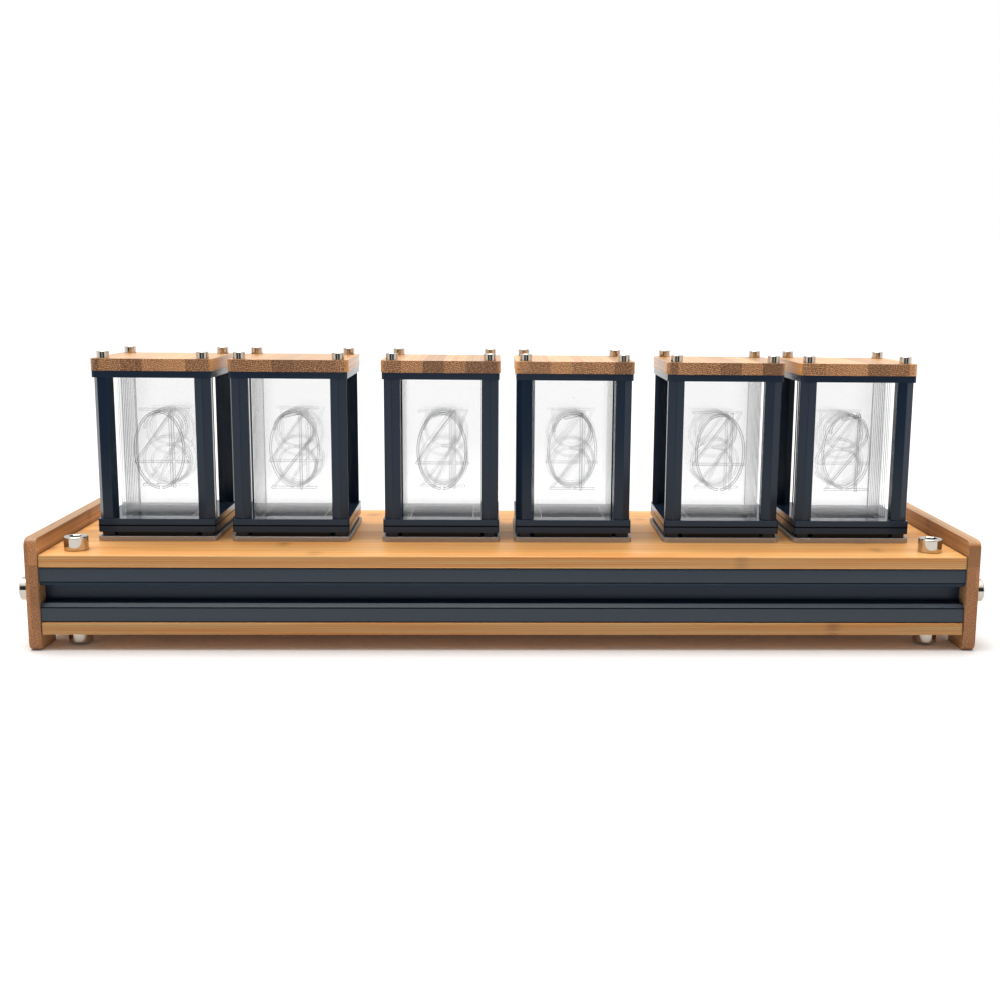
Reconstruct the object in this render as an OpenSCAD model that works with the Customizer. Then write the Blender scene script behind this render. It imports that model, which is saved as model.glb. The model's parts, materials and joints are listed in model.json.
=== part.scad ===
// Six-digit edge-lit clock: stacks of engraved clear sheets, screwed between black plates,
// stand in three pairs on a base of bamboo boards and slotted aluminium rails.
// Millimetres. X runs along the clock, the front faces -Y, and Z = 0 is the table.

/* [Bamboo base] */
// Thickness of the bamboo sheet that the boards, cheeks and caps are cut from
bamboo_t = 4.4; // [3.6:0.1:6]
// Depth of the top and bottom boards, front to back
board_d = 95; // [92:1:140]
// Gap between each end of a board and its cheek
board_gap = 0.4; // [0.2:0.1:1]
// Rounding of the boards' long edges
board_edge_r = 0.6; // [0.2:0.1:1.5]
// Height of the bottom board above the table
under_gap = 5.8; // [5.6:0.1:12]
// How far the cheeks rise above the top board
cheek_rise = 6; // [3:0.5:20]
// How far the cheeks stand out past the boards, front and back
cheek_proud = 0.5; // [0.2:0.1:3]
// Corner radius of the cheeks
cheek_r = 3; // [1:0.5:6]
// Length of each foot of a cheek
foot_l = 15.5; // [10:0.5:25]
// Height of the cut-out between the feet
arch_h = 7; // [6:0.5:9]
// Radius of the cut-out's upper corners
arch_r = 4; // [1:0.5:5]

/* [Slotted rails] */
// Length of the two rails
rail_len = 330; // [297:1:480]
// Side of the square rail section
rail_size = 20; // [19:0.5:26]
// Setback of each rail from the boards' edge
rail_inset = 0.5; // [0.2:0.1:3]
// Corner radius of the rail section
rail_r = 0.8; // [0.4:0.1:1.6]
// Width of each slot where it opens on the rail's face
slot_mouth = 9.2; // [8.6:0.1:10]
// Width of the slot's neck
slot_neck = 6.2; // [5.8:0.1:7]
// Thickness of the lips beside the neck
slot_lip = 1.8; // [1.7:0.1:2.2]
// Width of the slot behind the lips
slot_inside = 11; // [10:0.1:11.5]
// Thickness of the four diagonal webs
rail_web = 1.5; // [1.2:0.1:2]
// Side of the square core round the rail's bore
rail_core = 7.8; // [7.2:0.1:8.4]
// Bore through the rail's core
rail_bore = 4.2; // [3.5:0.1:4.6]

/* [Digit units] */
// Side of each unit's square cap and foot plate
unit_w = 44; // [40:0.2:49]
// Gap between the two units of a pair, before the gaps are spread to fill the rails' length
pair_gap = 5.3; // [3:0.1:7]
// Gap between neighbouring pairs, before the gaps are spread
pair_space = 11.7; // [8:0.1:15]
// Gap between the outer units and the cheeks, before the gaps are spread
end_space = 13.35; // [8:0.05:20]
// Corner radius of the caps and foot plates
cap_r = 2.5; // [1:0.1:4]
// How far the black plates stay inside the cap's outline
plate_inset = 0.4; // [0.2:0.1:0.6]
// Corner radius of the black plates
plate_r = 1.2; // [0.4:0.1:3]
// Thickness of each black plate
plate_t = 2.5; // [2:0.1:4]
// Thickness of the grey plate under each unit
foot_plate_t = 1.8; // [1.2:0.1:3]
// Distance of the four posts from the edges of the cap, to their centres
post_inset = 4; // [3.6:0.1:4.4]
// Height of the window between the black plates
post_len = 52; // [46:0.5:70]
// Width of a post across its flats
post_af = 6; // [5.5:0.1:6.4]

/* [Digit sheets] */
// Thickness of each clear sheet
sheet_t = 2; // [1.5:0.1:2.4]
// Spacing from one sheet to the next
sheet_pitch = 3; // [2.8:0.05:3.1]
// Gap between the sheets' edges and the flats of the posts
sheet_gap = 0.5; // [0.5:0.1:2]
// Step from the edge of a sheet to the tabs that hold it at its top and bottom
tab_step = 3; // [2:0.1:4.5]
// Play between a sheet and the plates that hold it
sheet_play = 0.1; // [0.05:0.01:0.15]
// How far a light gap stays inside the outline of the tab above it
tab_ledge = 0.25; // [0.1:0.05:0.3]
// Height of the engraved numerals
numeral_h = 28.5; // [26:0.5:38]
// Width of the engraved numerals
numeral_w = 18; // [17:0.5:22]
// How far the numerals sit below the middle of their sheets
numeral_drop = 1.3; // [0:0.1:3]
// Break in the line at the foot of the 0
oval_gap = 1; // [0.6:0.1:2]
// Radius of the small round turns of the numerals
turn_r = 7; // [6:0.1:7.2]
// Width of the engraved line
groove_w = 1; // [0.6:0.1:1.4]
// Depth of the engraved line
groove_d = 0.5; // [0.2:0.1:0.9]

/* [Screws] */
// Thread of the unit screws
screw_d = 2.5; // [2:0.1:3]
// Head of the unit screws
screw_head_d = 4.5; // [4:0.1:5.5]
// Height of the unit screws' head
screw_head_h = 2.5; // [2:0.1:3]
// Key size of the unit screws
screw_key = 2; // [1.5:0.1:2.5]
// Length of the cap screws in the posts
cap_grip = 5; // [4:0.5:10]
// Length of the lower screws in the posts
unit_grip = 7; // [4:0.5:12]
// Thread of the base bolts
m5_d = 5; // [4.8:0.1:5.4]
// Head of the base bolts
m5_head_d = 8.5; // [8:0.1:9]
// Height of the base bolts' head
m5_head_h = 5; // [4:0.1:5.4]
// Key size of the base bolts
m5_key = 4; // [3:0.5:5]
// Distance of the board bolts from the rails' ends
bolt_end = 10.5; // [8:0.5:14]
// Reach of the board bolts into the rails
board_grip = 5.3; // [4.8:0.1:5.4]
// Reach of the cheek bolts into the rails' cores
cheek_grip = 15; // [10:1:25]
// Chamfer of the screw heads
head_edge = 0.4; // [0.2:0.1:0.6]
// Extra width of a hole that a screw passes through
hole_play = 0.4; // [0.2:0.1:0.6]
// Extra width of a threaded hole round its screw
thread_play = 0.1; // [0.06:0.02:0.2]
// Length of each slot nut
nut_l = 10; // [8:0.5:12]
// Thickness of each slot nut below the lips
nut_t = 3; // [2.6:0.1:3.2]
// Gap between a slot nut and the slot's walls
nut_play = 0.3; // [0.2:0.05:0.5]
// Diameter of the round spacers beside the light boards
spacer_d = 6; // [5:0.1:6.6]

/* [Electronics] */
// Thickness of the circuit boards
pcb_t = 1.6; // [1.2:0.1:2]
// How far a light board stays inside the black plates
led_inset = 0.8; // [0.4:0.1:1.5]
// Side of each lamp on the light boards
lamp_w = 1.2; // [0.8:0.1:1.3]
// Height of each lamp
lamp_h = 0.9; // [0.5:0.1:1.5]
// Spacing of the two lamps under one sheet
lamp_gap = 10; // [6:0.5:14]
// Length of the plug that joins a light board to the main board
plug_l = 12.7; // [8:0.1:16]
// Width of that plug
plug_w = 2.5; // [2:0.1:4]
// Clearance round the plug in the plates that it passes through
plug_play = 1; // [0.5:0.1:2]
// Drop of the main board below the top board
main_drop = 7; // [6.5:0.5:9]
// Width of the main board
main_w = 46; // [43:0.5:50]
// Gap between the main board's ends and the cheeks
main_gap = 0.6; // [0.4:0.1:2]
// Distance of the main board's screws from its long edges
main_edge = 4; // [3.2:0.1:6]
// Diameter of the main board's spacers
pillar_d = 5; // [4.4:0.1:6]
// Thread of the main board's screws
board_screw_d = 2.5; // [2:0.1:2.8]
// Head of the main board's screws
board_screw_head = 4.5; // [4:0.1:5.5]
// Height of the main board's screw heads
board_screw_h = 1.6; // [1.2:0.1:2.2]
// Reach of the main board's screws into the top board
board_screw_grip = 2.6; // [2:0.1:2.8]
// Diameter of the button cell that keeps the time
cell_d = 20; // [16:0.5:24]
// Thickness of the button cell
cell_t = 3.2; // [2:0.1:4]
// Wall of the cell's holder
cell_wall = 1.5; // [1:0.1:2.5]

/* [Controls] */
// Diameter of the push buttons
button_d = 4.6; // [4:0.1:5]
// How far the buttons stand out of the cheek
button_out = 1.8; // [1:0.1:3]
// Travel of the buttons
button_travel = 0.5; // [0.3:0.05:0.6]
// Spacing of the buttons
button_pitch = 10; // [8:0.5:11]
// Extra radius of the collar that keeps a button in
collar_r = 0.9; // [0.6:0.1:1.1]
// Thickness of that collar
collar_t = 1; // [0.8:0.1:1.4]
// Gap round a moving button
button_play = 0.3; // [0.25:0.05:0.4]
// Diameter of the button's pin in its switch
pin_d = 2.4; // [2:0.1:3]
// Length of the button's pin
pin_l = 2; // [1.6:0.1:2.4]
// Side of each switch body
switch_w = 6; // [5:0.1:7]
// Length of each switch body, along the button
switch_l = 5; // [4:0.1:7]
// Height from the main board to the buttons' axis
switch_axis = 4; // [3.9:0.1:5]
// Place of the middle button, front to back
buttons_y = -9; // [-12:0.5:-7]
// Width of the power socket
socket_w = 9; // [8:0.1:10]
// Height of the power socket
socket_h = 3.2; // [2.8:0.1:4]
// Length of the power socket
socket_l = 7.4; // [6:0.1:9]
// Wall of the power socket's shell
socket_wall = 0.3; // [0.25:0.05:0.5]
// Place of the power socket, front to back
socket_y = 15; // [13:0.5:16]
// Clearance round the power socket for the plug's grip
socket_room = 1.9; // [1.5:0.1:2.5]

/* [Hidden] */
$fn = 72;
SHEETS = 10;
UNITS = 6;
// Overlap of a cutter past the face that it opens
CUT = 1;
// Angle by which the two bows of a 3 run past their meeting point
SEAM = 6;

// Heights, from the table up
bottom_z = under_gap;
rail_z = bottom_z + bamboo_t;
top_z = rail_z + rail_size;
unit_z = top_z + bamboo_t;
led_z = unit_z + foot_plate_t;
mask_z = led_z + pcb_t;
slot_z = mask_z + plate_t;
window_z = slot_z + plate_t;
plate_z = window_z + post_len;
cap_z = plate_z + plate_t;
cap_top_z = cap_z + bamboo_t;
cheek_h = unit_z + cheek_rise;
main_z = top_z - main_drop;
axis_z = main_z - pcb_t - switch_axis;
socket_z = main_z - pcb_t - socket_h / 2;

// Sizes that follow from the fits
plate_w = unit_w - 2 * plate_inset;
post_pitch = unit_w - 2 * post_inset;
sheet_w = post_pitch - post_af - 2 * sheet_gap;
tab_w = sheet_w - 2 * tab_step;
led_w = plate_w - 2 * led_inset;
screw_hole = screw_d + hole_play;
screw_thread = screw_d + thread_play;
m5_hole = m5_d + hole_play;
m5_thread = m5_d + thread_play;
sheet_h = post_len - sheet_play;
tab_h = plate_t - sheet_play;
plug_h = led_z - main_z - pcb_t / 2;

// Places along and across the base
cheek_x = rail_len / 2;
cheek_d = board_d + 2 * cheek_proud;
board_l = rail_len - 2 * board_gap;
rail_y = board_d / 2 - rail_inset - rail_size / 2;
bolt_x = cheek_x - bolt_end;
// How far the gaps between the units open or close to fill the rails' length
spread = (rail_len - UNITS * unit_w) / (UNITS / 2 * (pair_gap + pair_space) - pair_space + 2 * end_space);
unit_pitch = unit_w + spread * pair_gap;
pair_pitch = unit_pitch + unit_w + spread * pair_space;
unit_x = [for (pair = [-1:1], side = [-1, 1]) pair * pair_pitch + side * unit_pitch / 2];
main_l = rail_len - 2 * main_gap;
pillar_x = [for (side = [-1, 1], place = [pair_pitch / 2, unit_x[UNITS - 1] + post_pitch / 4]) side * place];
pillar_y = main_w / 2 - main_edge;
cell_x = unit_x[4];
button_y = [for (i = [-1:1]) buttons_y + i * button_pitch];
collar_x = cheek_x - button_play;
switch_x = collar_x - collar_t - button_travel - button_play;

// Front to back order of the numerals in the left and the right unit of a pair
NUMERAL_ORDER = [[0, 4, 1, 2, 7, 6, 3, 8, 9, 5], [1, 2, 0, 4, 3, 8, 6, 9, 5, 7]];
// Turn of each unit's posts about their own axes, where their threads stopped:
// front left, front right, rear left, rear right
POST_TURN = [
  [3, 34, 12, 25], [35, 36, 8, 41], [30, 31, 20, 2],
  [12, 37, 33, 15], [27, 30, 5, 38], [22, 33, 40, 10]
];

// Corners of a rectangle, front left first
function corners(w, d) = [for (y = [-1, 1], x = [-1, 1]) [x * w / 2, y * d / 2]];
// Angle, on a circle, of the point where a straight line from p leaves the circle, on its clockwise side
function leaving(c, r, p) = atan2(p.y - c.y, p.x - c.x) + acos(r / norm(p - c));
function on_circle(c, r, a) = [c.x + r * cos(a), c.y + r * sin(a)];

// Flat rectangle with round corners, centred
module round_rect(w, h, r) {
  square([w - 2 * r, h], center = true);
  square([w, h - 2 * r], center = true);
  for (p = corners(w - 2 * r, h - 2 * r))
    translate(p) circle(r);
}

// Copies of a piece at the four posts of every unit
module at_posts(z) {
  for (x = unit_x, p = corners(post_pitch, post_pitch))
    translate([x + p.x, p.y, z]) children();
}

module post_holes(d) {
  for (p = corners(post_pitch, post_pitch))
    translate(p) circle(d = d);
}

// Row of openings, one for each sheet
module sheet_slots(w, t) {
  for (i = [0:SHEETS - 1])
    translate([0, sheet_y(i)]) square([w, t], center = true);
}
function sheet_y(i) = (i - (SHEETS - 1) / 2) * sheet_pitch;

// Socket head screw: the head sits on z = 0 and the shank points down
module socket_screw(d, head_d, head_h, key, length) {
  tip = d / 8;
  difference() {
    rotate_extrude()
      polygon([[0, -length], [d / 2 - tip, -length], [d / 2, tip - length], [d / 2, 0], [head_d / 2, 0],
               [head_d / 2, head_h - head_edge], [head_d / 2 - head_edge, head_h], [0, head_h]]);
    translate([0, 0, head_h / 2])
      cylinder(d = key / cos(30), h = head_h / 2 + CUT, $fn = 6);
  }
}

// Digit units

module cap(k) {
  color("burlywood") translate([unit_x[k], 0, cap_z])
    linear_extrude(bamboo_t) difference() {
      round_rect(unit_w, unit_w, cap_r);
      post_holes(screw_hole);
    }
}

// Black plate with a slot for every sheet's tab
module slotted_plate(k, z) {
  color("#1c232b") translate([unit_x[k], 0, z])
    linear_extrude(plate_t) difference() {
      round_rect(plate_w, plate_w, plate_r);
      post_holes(screw_hole);
      sheet_slots(tab_w + 2 * sheet_play, sheet_t + 2 * sheet_play);
    }
}

module top_plate(k) slotted_plate(k, plate_z);

module slot_plate(k) slotted_plate(k, slot_z);

// Plates that close the slots from below, with a narrower light gap under each sheet
module mask_plates() {
  color("#1c232b") for (x = unit_x)
    translate([x, 0, mask_z]) linear_extrude(plate_t) difference() {
      round_rect(plate_w, plate_w, plate_r);
      post_holes(screw_hole);
      sheet_slots(tab_w - 2 * tab_ledge, sheet_t - 2 * tab_ledge);
    }
}

module posts() {
  color("#20272f") for (k = [0:UNITS - 1], c = [0:3]) {
    p = corners(post_pitch, post_pitch)[c];
    translate([unit_x[k] + p.x, p.y, window_z]) difference() {
      rotate(POST_TURN[k][c]) cylinder(d = post_af / cos(30), h = post_len, $fn = 6);
      translate([0, 0, -CUT]) cylinder(d = screw_thread, h = unit_grip + 2 * CUT);
      translate([0, 0, post_len - cap_grip - CUT]) cylinder(d = screw_thread, h = cap_grip + 2 * CUT);
    }
  }
}

module cap_screws() {
  color("silver") at_posts(cap_top_z)
    socket_screw(screw_d, screw_head_d, screw_head_h, screw_key, bamboo_t + plate_t + cap_grip);
}

module unit_screws() {
  color("silver") at_posts(top_z) rotate([180, 0, 0])
    socket_screw(screw_d, screw_head_d, screw_head_h, screw_key, window_z - top_z + unit_grip);
}

module corner_spacers() {
  color("#20272f") at_posts(led_z) linear_extrude(pcb_t) difference() {
    circle(d = spacer_d);
    circle(d = screw_hole);
  }
}

module foot_plate(k) {
  color("#8f8881") translate([unit_x[k], 0, unit_z])
    linear_extrude(foot_plate_t) difference() {
      round_rect(unit_w, unit_w, cap_r);
      post_holes(screw_hole);
      square([plug_l + 2 * plug_play, plug_w + 2 * plug_play], center = true);
    }
}

// Circuit board with two lamps under each sheet and a plug that reaches down to the main board
module light_board(k) {
  notch = led_w / 2 - post_pitch / 2 + spacer_d / 2 + hole_play;
  color("#16301f") translate([unit_x[k], 0, led_z]) {
    linear_extrude(pcb_t) difference() {
      square(led_w, center = true);
      for (p = corners(led_w, led_w))
        translate(p) square(2 * notch, center = true);
    }
    translate([0, 0, pcb_t]) linear_extrude(lamp_h)
      for (i = [0:SHEETS - 1], side = [-1, 1])
        translate([side * lamp_gap / 2, sheet_y(i)]) square(lamp_w, center = true);
    translate([0, 0, -plug_h]) linear_extrude(plug_h)
      square([plug_l, plug_w], center = true);
  }
}

// Engraved numerals: each stroke is a groove cut up from z = 0

module arc_stroke(c, r, from, to) {
  translate(c) rotate(from) rotate_extrude(angle = to - from)
    translate([r - groove_w / 2, -CUT]) square([groove_w, groove_d + CUT]);
}

module bar_stroke(p, q) {
  run = q - p;
  translate([p.x, p.y, -CUT]) rotate(atan2(run.y, run.x))
    translate([-groove_w / 2, -groove_w / 2, 0]) cube([norm(run) + groove_w, groove_w, groove_d + CUT]);
}

// Ellipse of half width w and half height h
module ellipse(w, h) {
  polygon([for (i = [0:$fn - 1]) [w * cos(360 * i / $fn), h * sin(360 * i / $fn)]]);
}

module oval_stroke(w, h) {
  half = groove_w / 2;
  translate([0, 0, -CUT]) linear_extrude(groove_d + CUT) difference() {
    ellipse(w + half, h + half);
    ellipse(w - half, h - half);
    translate([0, -h]) square([oval_gap, 4 * half], center = true);
  }
}

module numeral(n) {
  w = numeral_w / 2;
  h = numeral_h / 2;
  big_r = h - turn_r;
  upper = [0, h - turn_r];
  lower = [0, big_r - h];
  bowl = [0, w - h];
  if (n == 0) oval_stroke(w, h);
  if (n == 1) {
    stem = w / 3;
    bar_stroke([stem, h], [stem, -h]);
    bar_stroke([stem, h], [-stem, h - stem / 2]);
  }
  if (n == 2) {
    foot = turn_r + groove_w;
    tip = [-foot, -h];
    a = leaving(upper, turn_r, tip);
    arc_stroke(upper, turn_r, a, 180);
    bar_stroke(on_circle(upper, turn_r, a), tip);
    bar_stroke(tip, [foot, -h]);
  }
  if (n == 3) {
    arc_stroke(upper, turn_r, -90 - SEAM, 150);
    arc_stroke(lower, big_r, -150, 90 + SEAM);
  }
  if (n == 4) {
    stem = w / 2;
    wide = w + groove_w / 2;
    bar_stroke([stem, h], [-wide, -h / 3]);
    bar_stroke([-wide, -h / 3], [wide, -h / 3]);
    bar_stroke([stem, h], [stem, -h]);
  }
  if (n == 5) {
    joint = on_circle(bowl, w, 135);
    bar_stroke([-turn_r, h], [turn_r, h]);
    bar_stroke([-turn_r, h], joint);
    arc_stroke(bowl, w, -150, 135);
  }
  if (n == 6) rotate(180) numeral(9);
  if (n == 7) {
    bar_stroke([-w, h], [w, h]);
    bar_stroke([w, h], [-turn_r / 2, -h]);
  }
  if (n == 8) {
    arc_stroke(upper, turn_r, 0, 360);
    arc_stroke(lower, big_r, 0, 360);
  }
  if (n == 9) {
    tail = [-turn_r / 2, -h];
    a = leaving(-bowl, w, tail);
    arc_stroke(-bowl, w, 0, 360);
    bar_stroke(on_circle(-bowl, w, a), tail);
  }
}

// Clear sheet with a tab at each end, lying on z = 0 with its numeral engraved from below
module digit_sheet(n) {
  difference() {
    linear_extrude(sheet_t) {
      square([sheet_w, sheet_h], center = true);
      square([tab_w, sheet_h + 2 * tab_h], center = true);
    }
    translate([0, -numeral_drop, 0]) numeral(n);
  }
}

module digit_sheets(k) {
  color("#d8e6ea", 0.4) for (i = [0:SHEETS - 1])
    translate([unit_x[k], sheet_y(i) + sheet_t / 2, window_z + sheet_h / 2])
      rotate([90, 0, 0]) digit_sheet(NUMERAL_ORDER[k % 2][i]);
}

// Base

// Outline of one slot: one half from the rail's face inwards, then the same points mirrored
module rail_slot() {
  s = rail_size / 2;
  flank = (slot_mouth - slot_neck) / 2;
  web = rail_web / sqrt(2);
  half = [
    [slot_mouth / 2 + CUT, s + CUT], [slot_neck / 2, s - flank], [slot_neck / 2, s - slot_lip],
    [slot_inside / 2, s - slot_lip], [slot_inside / 2, slot_inside / 2 + web],
    [rail_core / 2 - web, rail_core / 2]
  ];
  mirrored = [for (i = [len(half) - 1:-1:0]) [-half[i].x, half[i].y]];
  polygon(concat(half, mirrored));
}

// Slotted rail along X: four V-mouthed slots round a bored core, threaded at both ends
module rail(y) {
  thread_l = cheek_grip + CUT;
  color("#3a4049") translate([0, y, rail_z + rail_size / 2]) difference() {
    translate([-cheek_x, 0, 0]) rotate([90, 0, 90]) linear_extrude(rail_len) difference() {
      round_rect(rail_size, rail_size, rail_r);
      for (turn = [0:90:270])
        rotate(turn) rail_slot();
      circle(d = rail_bore);
    }
    for (side = [0, 180])
      rotate([0, 0, side]) translate([cheek_x - thread_l, 0, 0]) rotate([0, 90, 0])
        cylinder(d = m5_thread, h = thread_l + CUT);
  }
}

module front_rail() rail(-rail_y);

module rear_rail() rail(rail_y);

// Board along X with rounded long edges
module board(z) {
  translate([-board_l / 2, 0, z + bamboo_t / 2]) rotate([90, 0, 90])
    linear_extrude(board_l) round_rect(board_d, bamboo_t, board_edge_r);
}

module board_bolt_holes(z) {
  for (p = corners(2 * bolt_x, 2 * rail_y))
    translate([p.x, p.y, z - CUT]) cylinder(d = m5_hole, h = bamboo_t + 2 * CUT);
}

module top_board() {
  color("#d9a464") difference() {
    board(top_z);
    board_bolt_holes(top_z);
    at_posts(top_z - CUT) cylinder(d = screw_hole, h = bamboo_t + 2 * CUT);
    for (x = unit_x)
      translate([x, 0, unit_z - bamboo_t / 2])
        cube([plug_l + 2 * plug_play, plug_w + 2 * plug_play, bamboo_t + 2 * CUT], center = true);
    for (x = pillar_x, y = [-pillar_y, pillar_y])
      translate([x, y, top_z - CUT])
        cylinder(d = board_screw_d + thread_play, h = board_screw_grip + thread_play + CUT);
  }
}

module bottom_board() {
  color("#d9a464") difference() {
    board(bottom_z);
    board_bolt_holes(bottom_z);
  }
}

// Cheek in the plane of Y and Z, with feet left by the cut-out along its lower edge
module cheek_outline() {
  arch_w = cheek_d - 2 * foot_l;
  difference() {
    translate([0, cheek_h / 2]) round_rect(cheek_d, cheek_h, cheek_r);
    translate([0, (arch_h - CUT) / 2 - arch_r / 2])
      square([arch_w, arch_h - arch_r + CUT], center = true);
    translate([0, arch_h - arch_r]) square([arch_w - 2 * arch_r, 2 * arch_r], center = true);
    for (side = [-1, 1])
      translate([side * (arch_w / 2 - arch_r), arch_h - arch_r]) circle(arch_r);
    for (side = [-1, 1])
      translate([side * rail_y, rail_z + rail_size / 2]) circle(d = m5_hole);
  }
}

module left_cheek() {
  color("#c08a55") translate([-cheek_x - bamboo_t, 0, 0]) rotate([90, 0, 90])
    linear_extrude(bamboo_t) cheek_outline();
}

module right_cheek() {
  room_h = socket_h + 2 * socket_room;
  room_w = socket_w + 2 * socket_room;
  room_r = room_h * 0.4;
  color("#c08a55") translate([cheek_x, 0, 0]) rotate([90, 0, 90])
    linear_extrude(bamboo_t) difference() {
      cheek_outline();
      for (y = button_y)
        translate([y, axis_z]) circle(d = button_d + 2 * button_play);
      translate([socket_y, socket_z]) round_rect(room_w, room_h, room_r);
    }
}

module cheek_bolts() {
  color("silver") for (side = [0, 180], y = [-rail_y, rail_y])
    rotate([0, 0, side]) translate([cheek_x + bamboo_t, y, rail_z + rail_size / 2]) rotate([0, 90, 0])
      socket_screw(m5_d, m5_head_d, m5_head_h, m5_key, bamboo_t + cheek_grip);
}

module board_bolts() {
  color("silver") for (p = corners(2 * bolt_x, 2 * rail_y)) {
    translate([p.x, p.y, unit_z])
      socket_screw(m5_d, m5_head_d, m5_head_h, m5_key, bamboo_t + board_grip);
    translate([p.x, p.y, bottom_z]) rotate([180, 0, 0])
      socket_screw(m5_d, m5_head_d, m5_head_h, m5_key, bamboo_t + board_grip);
  }
}

// Nut that slides in a rail's slot: it bears on the lips from behind, below z = 0
module slot_nut() {
  neck = slot_neck / 2 - nut_play;
  wide = slot_inside / 2 - nut_play;
  bevel = nut_t / 2;
  difference() {
    translate([-nut_l / 2, 0, 0]) rotate([90, 0, 90]) linear_extrude(nut_l)
      polygon([[-neck, nut_play - slot_lip / 2], [neck, nut_play - slot_lip / 2], [neck, -slot_lip],
               [wide, -slot_lip], [wide, bevel - slot_lip - nut_t], [wide - bevel, -slot_lip - nut_t],
               [bevel - wide, -slot_lip - nut_t], [-wide, bevel - slot_lip - nut_t], [-wide, -slot_lip],
               [-neck, -slot_lip]]);
    translate([0, 0, -slot_lip - nut_t - CUT]) cylinder(d = m5_thread, h = slot_lip + nut_t + 2 * CUT);
  }
}

module slot_nuts() {
  color("silver") for (p = corners(2 * bolt_x, 2 * rail_y)) {
    translate([p.x, p.y, top_z]) slot_nut();
    translate([p.x, p.y, rail_z]) rotate([180, 0, 0]) slot_nut();
  }
}

// Electronics

// Long circuit board under the top board, with a socket below each unit and chips underneath
module main_board() {
  chip = 10;
  chip_h = 1.4;
  shell = 1.2;
  room = plug_play / 4;
  color("#1d4a30") {
    translate([0, 0, main_z - pcb_t]) linear_extrude(pcb_t) difference() {
      square([main_l, main_w], center = true);
      for (x = pillar_x, y = [-pillar_y, pillar_y])
        translate([x, y]) circle(d = board_screw_d + hole_play);
      for (x = unit_x)
        translate([x, 0]) square([plug_l + 2 * room, plug_w + 2 * room], center = true);
    }
    translate([0, 0, main_z]) linear_extrude(main_drop - screw_head_h) for (x = unit_x)
      translate([x, 0]) difference() {
        square([plug_l + 2 * (room + shell), plug_w + 2 * (room + shell)], center = true);
        square([plug_l + 2 * room, plug_w + 2 * room], center = true);
      }
    for (x = [0, 2 * chip])
      translate([x - chip, 0, main_z - pcb_t - chip_h / 2]) cube([chip, chip, chip_h], center = true);
  }
}

module board_spacers() {
  color("#20272f") for (x = pillar_x, y = [-pillar_y, pillar_y])
    translate([x, y, main_z]) linear_extrude(main_drop) difference() {
      circle(d = pillar_d);
      circle(d = board_screw_d + hole_play);
    }
}

module board_screws() {
  reach = pcb_t + main_drop + board_screw_grip;
  color("silver") for (x = pillar_x, y = [-pillar_y, pillar_y])
    translate([x, y, main_z - pcb_t]) rotate([180, 0, 0])
      socket_screw(board_screw_d, board_screw_head, board_screw_h, board_screw_d / 2, reach);
}

// Open ring under the main board, with a floor of two bars that keeps the cell in
module cell_holder() {
  ring = cell_d + 2 * (cell_wall + thread_play);
  color("#24282d") translate([cell_x, 0, main_z - pcb_t - cell_t - cell_wall]) {
    translate([0, 0, cell_wall]) linear_extrude(cell_t) difference() {
      circle(d = ring);
      circle(d = cell_d + 2 * thread_play);
    }
    linear_extrude(cell_wall) difference() {
      circle(d = ring);
      square([ring + CUT, cell_d / 2], center = true);
    }
  }
}

module button_cell() {
  color("silver") translate([cell_x, 0, main_z - pcb_t - cell_t])
    cylinder(d = cell_d, h = cell_t - thread_play);
}

module switches() {
  body_h = switch_axis + switch_w / 2;
  color("#2a2e33") for (y = button_y)
    translate([switch_x, y, axis_z]) difference() {
      translate([-switch_l, -switch_w / 2, switch_axis - body_h]) cube([switch_l, switch_w, body_h]);
      translate([-pin_l - button_travel - button_play, 0, 0]) rotate([0, 90, 0])
        cylinder(d = pin_d + 2 * button_play, h = pin_l + button_travel + button_play + CUT);
    }
}

// Push button: a stem through the cheek, a collar behind it and a pin in the switch, turned about its axis
module button(y) {
  stem = bamboo_t + button_play + button_out;
  dome = button_d / 8;
  pin = pin_l + button_travel;
  color("#2b3036") translate([collar_x, y, axis_z]) rotate([0, 90, 0]) rotate_extrude()
    polygon([[0, -collar_t - pin], [pin_d / 2, -collar_t - pin], [pin_d / 2, -collar_t],
             [button_d / 2 + collar_r, -collar_t], [button_d / 2 + collar_r, 0], [button_d / 2, 0],
             [button_d / 2, stem - dome], [button_d / 2 - dome, stem], [0, stem]]);
}

module button_set() button(button_y[0]);

module button_plus() button(button_y[1]);

module button_minus() button(button_y[2]);

// Power socket: a rounded shell, open to the cheek, with a contact tongue inside
module power_socket() {
  inner_w = socket_w - 2 * socket_wall;
  inner_h = socket_h - 2 * socket_wall;
  back = 2 * socket_wall;
  tongue_w = inner_w - 4 * socket_wall;
  tongue_t = 2 * socket_wall;
  tongue_l = socket_l - 2 * back;
  color("silver") translate([cheek_x - button_play - socket_l, socket_y, socket_z]) rotate([90, 0, 90]) {
    difference() {
      linear_extrude(socket_l) round_rect(socket_w, socket_h, socket_h / 2 - socket_wall);
      translate([0, 0, back]) linear_extrude(socket_l)
        round_rect(inner_w, inner_h, inner_h / 2 - socket_wall);
    }
    linear_extrude(tongue_l) square([tongue_w, tongue_t], center = true);
  }
}

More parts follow.
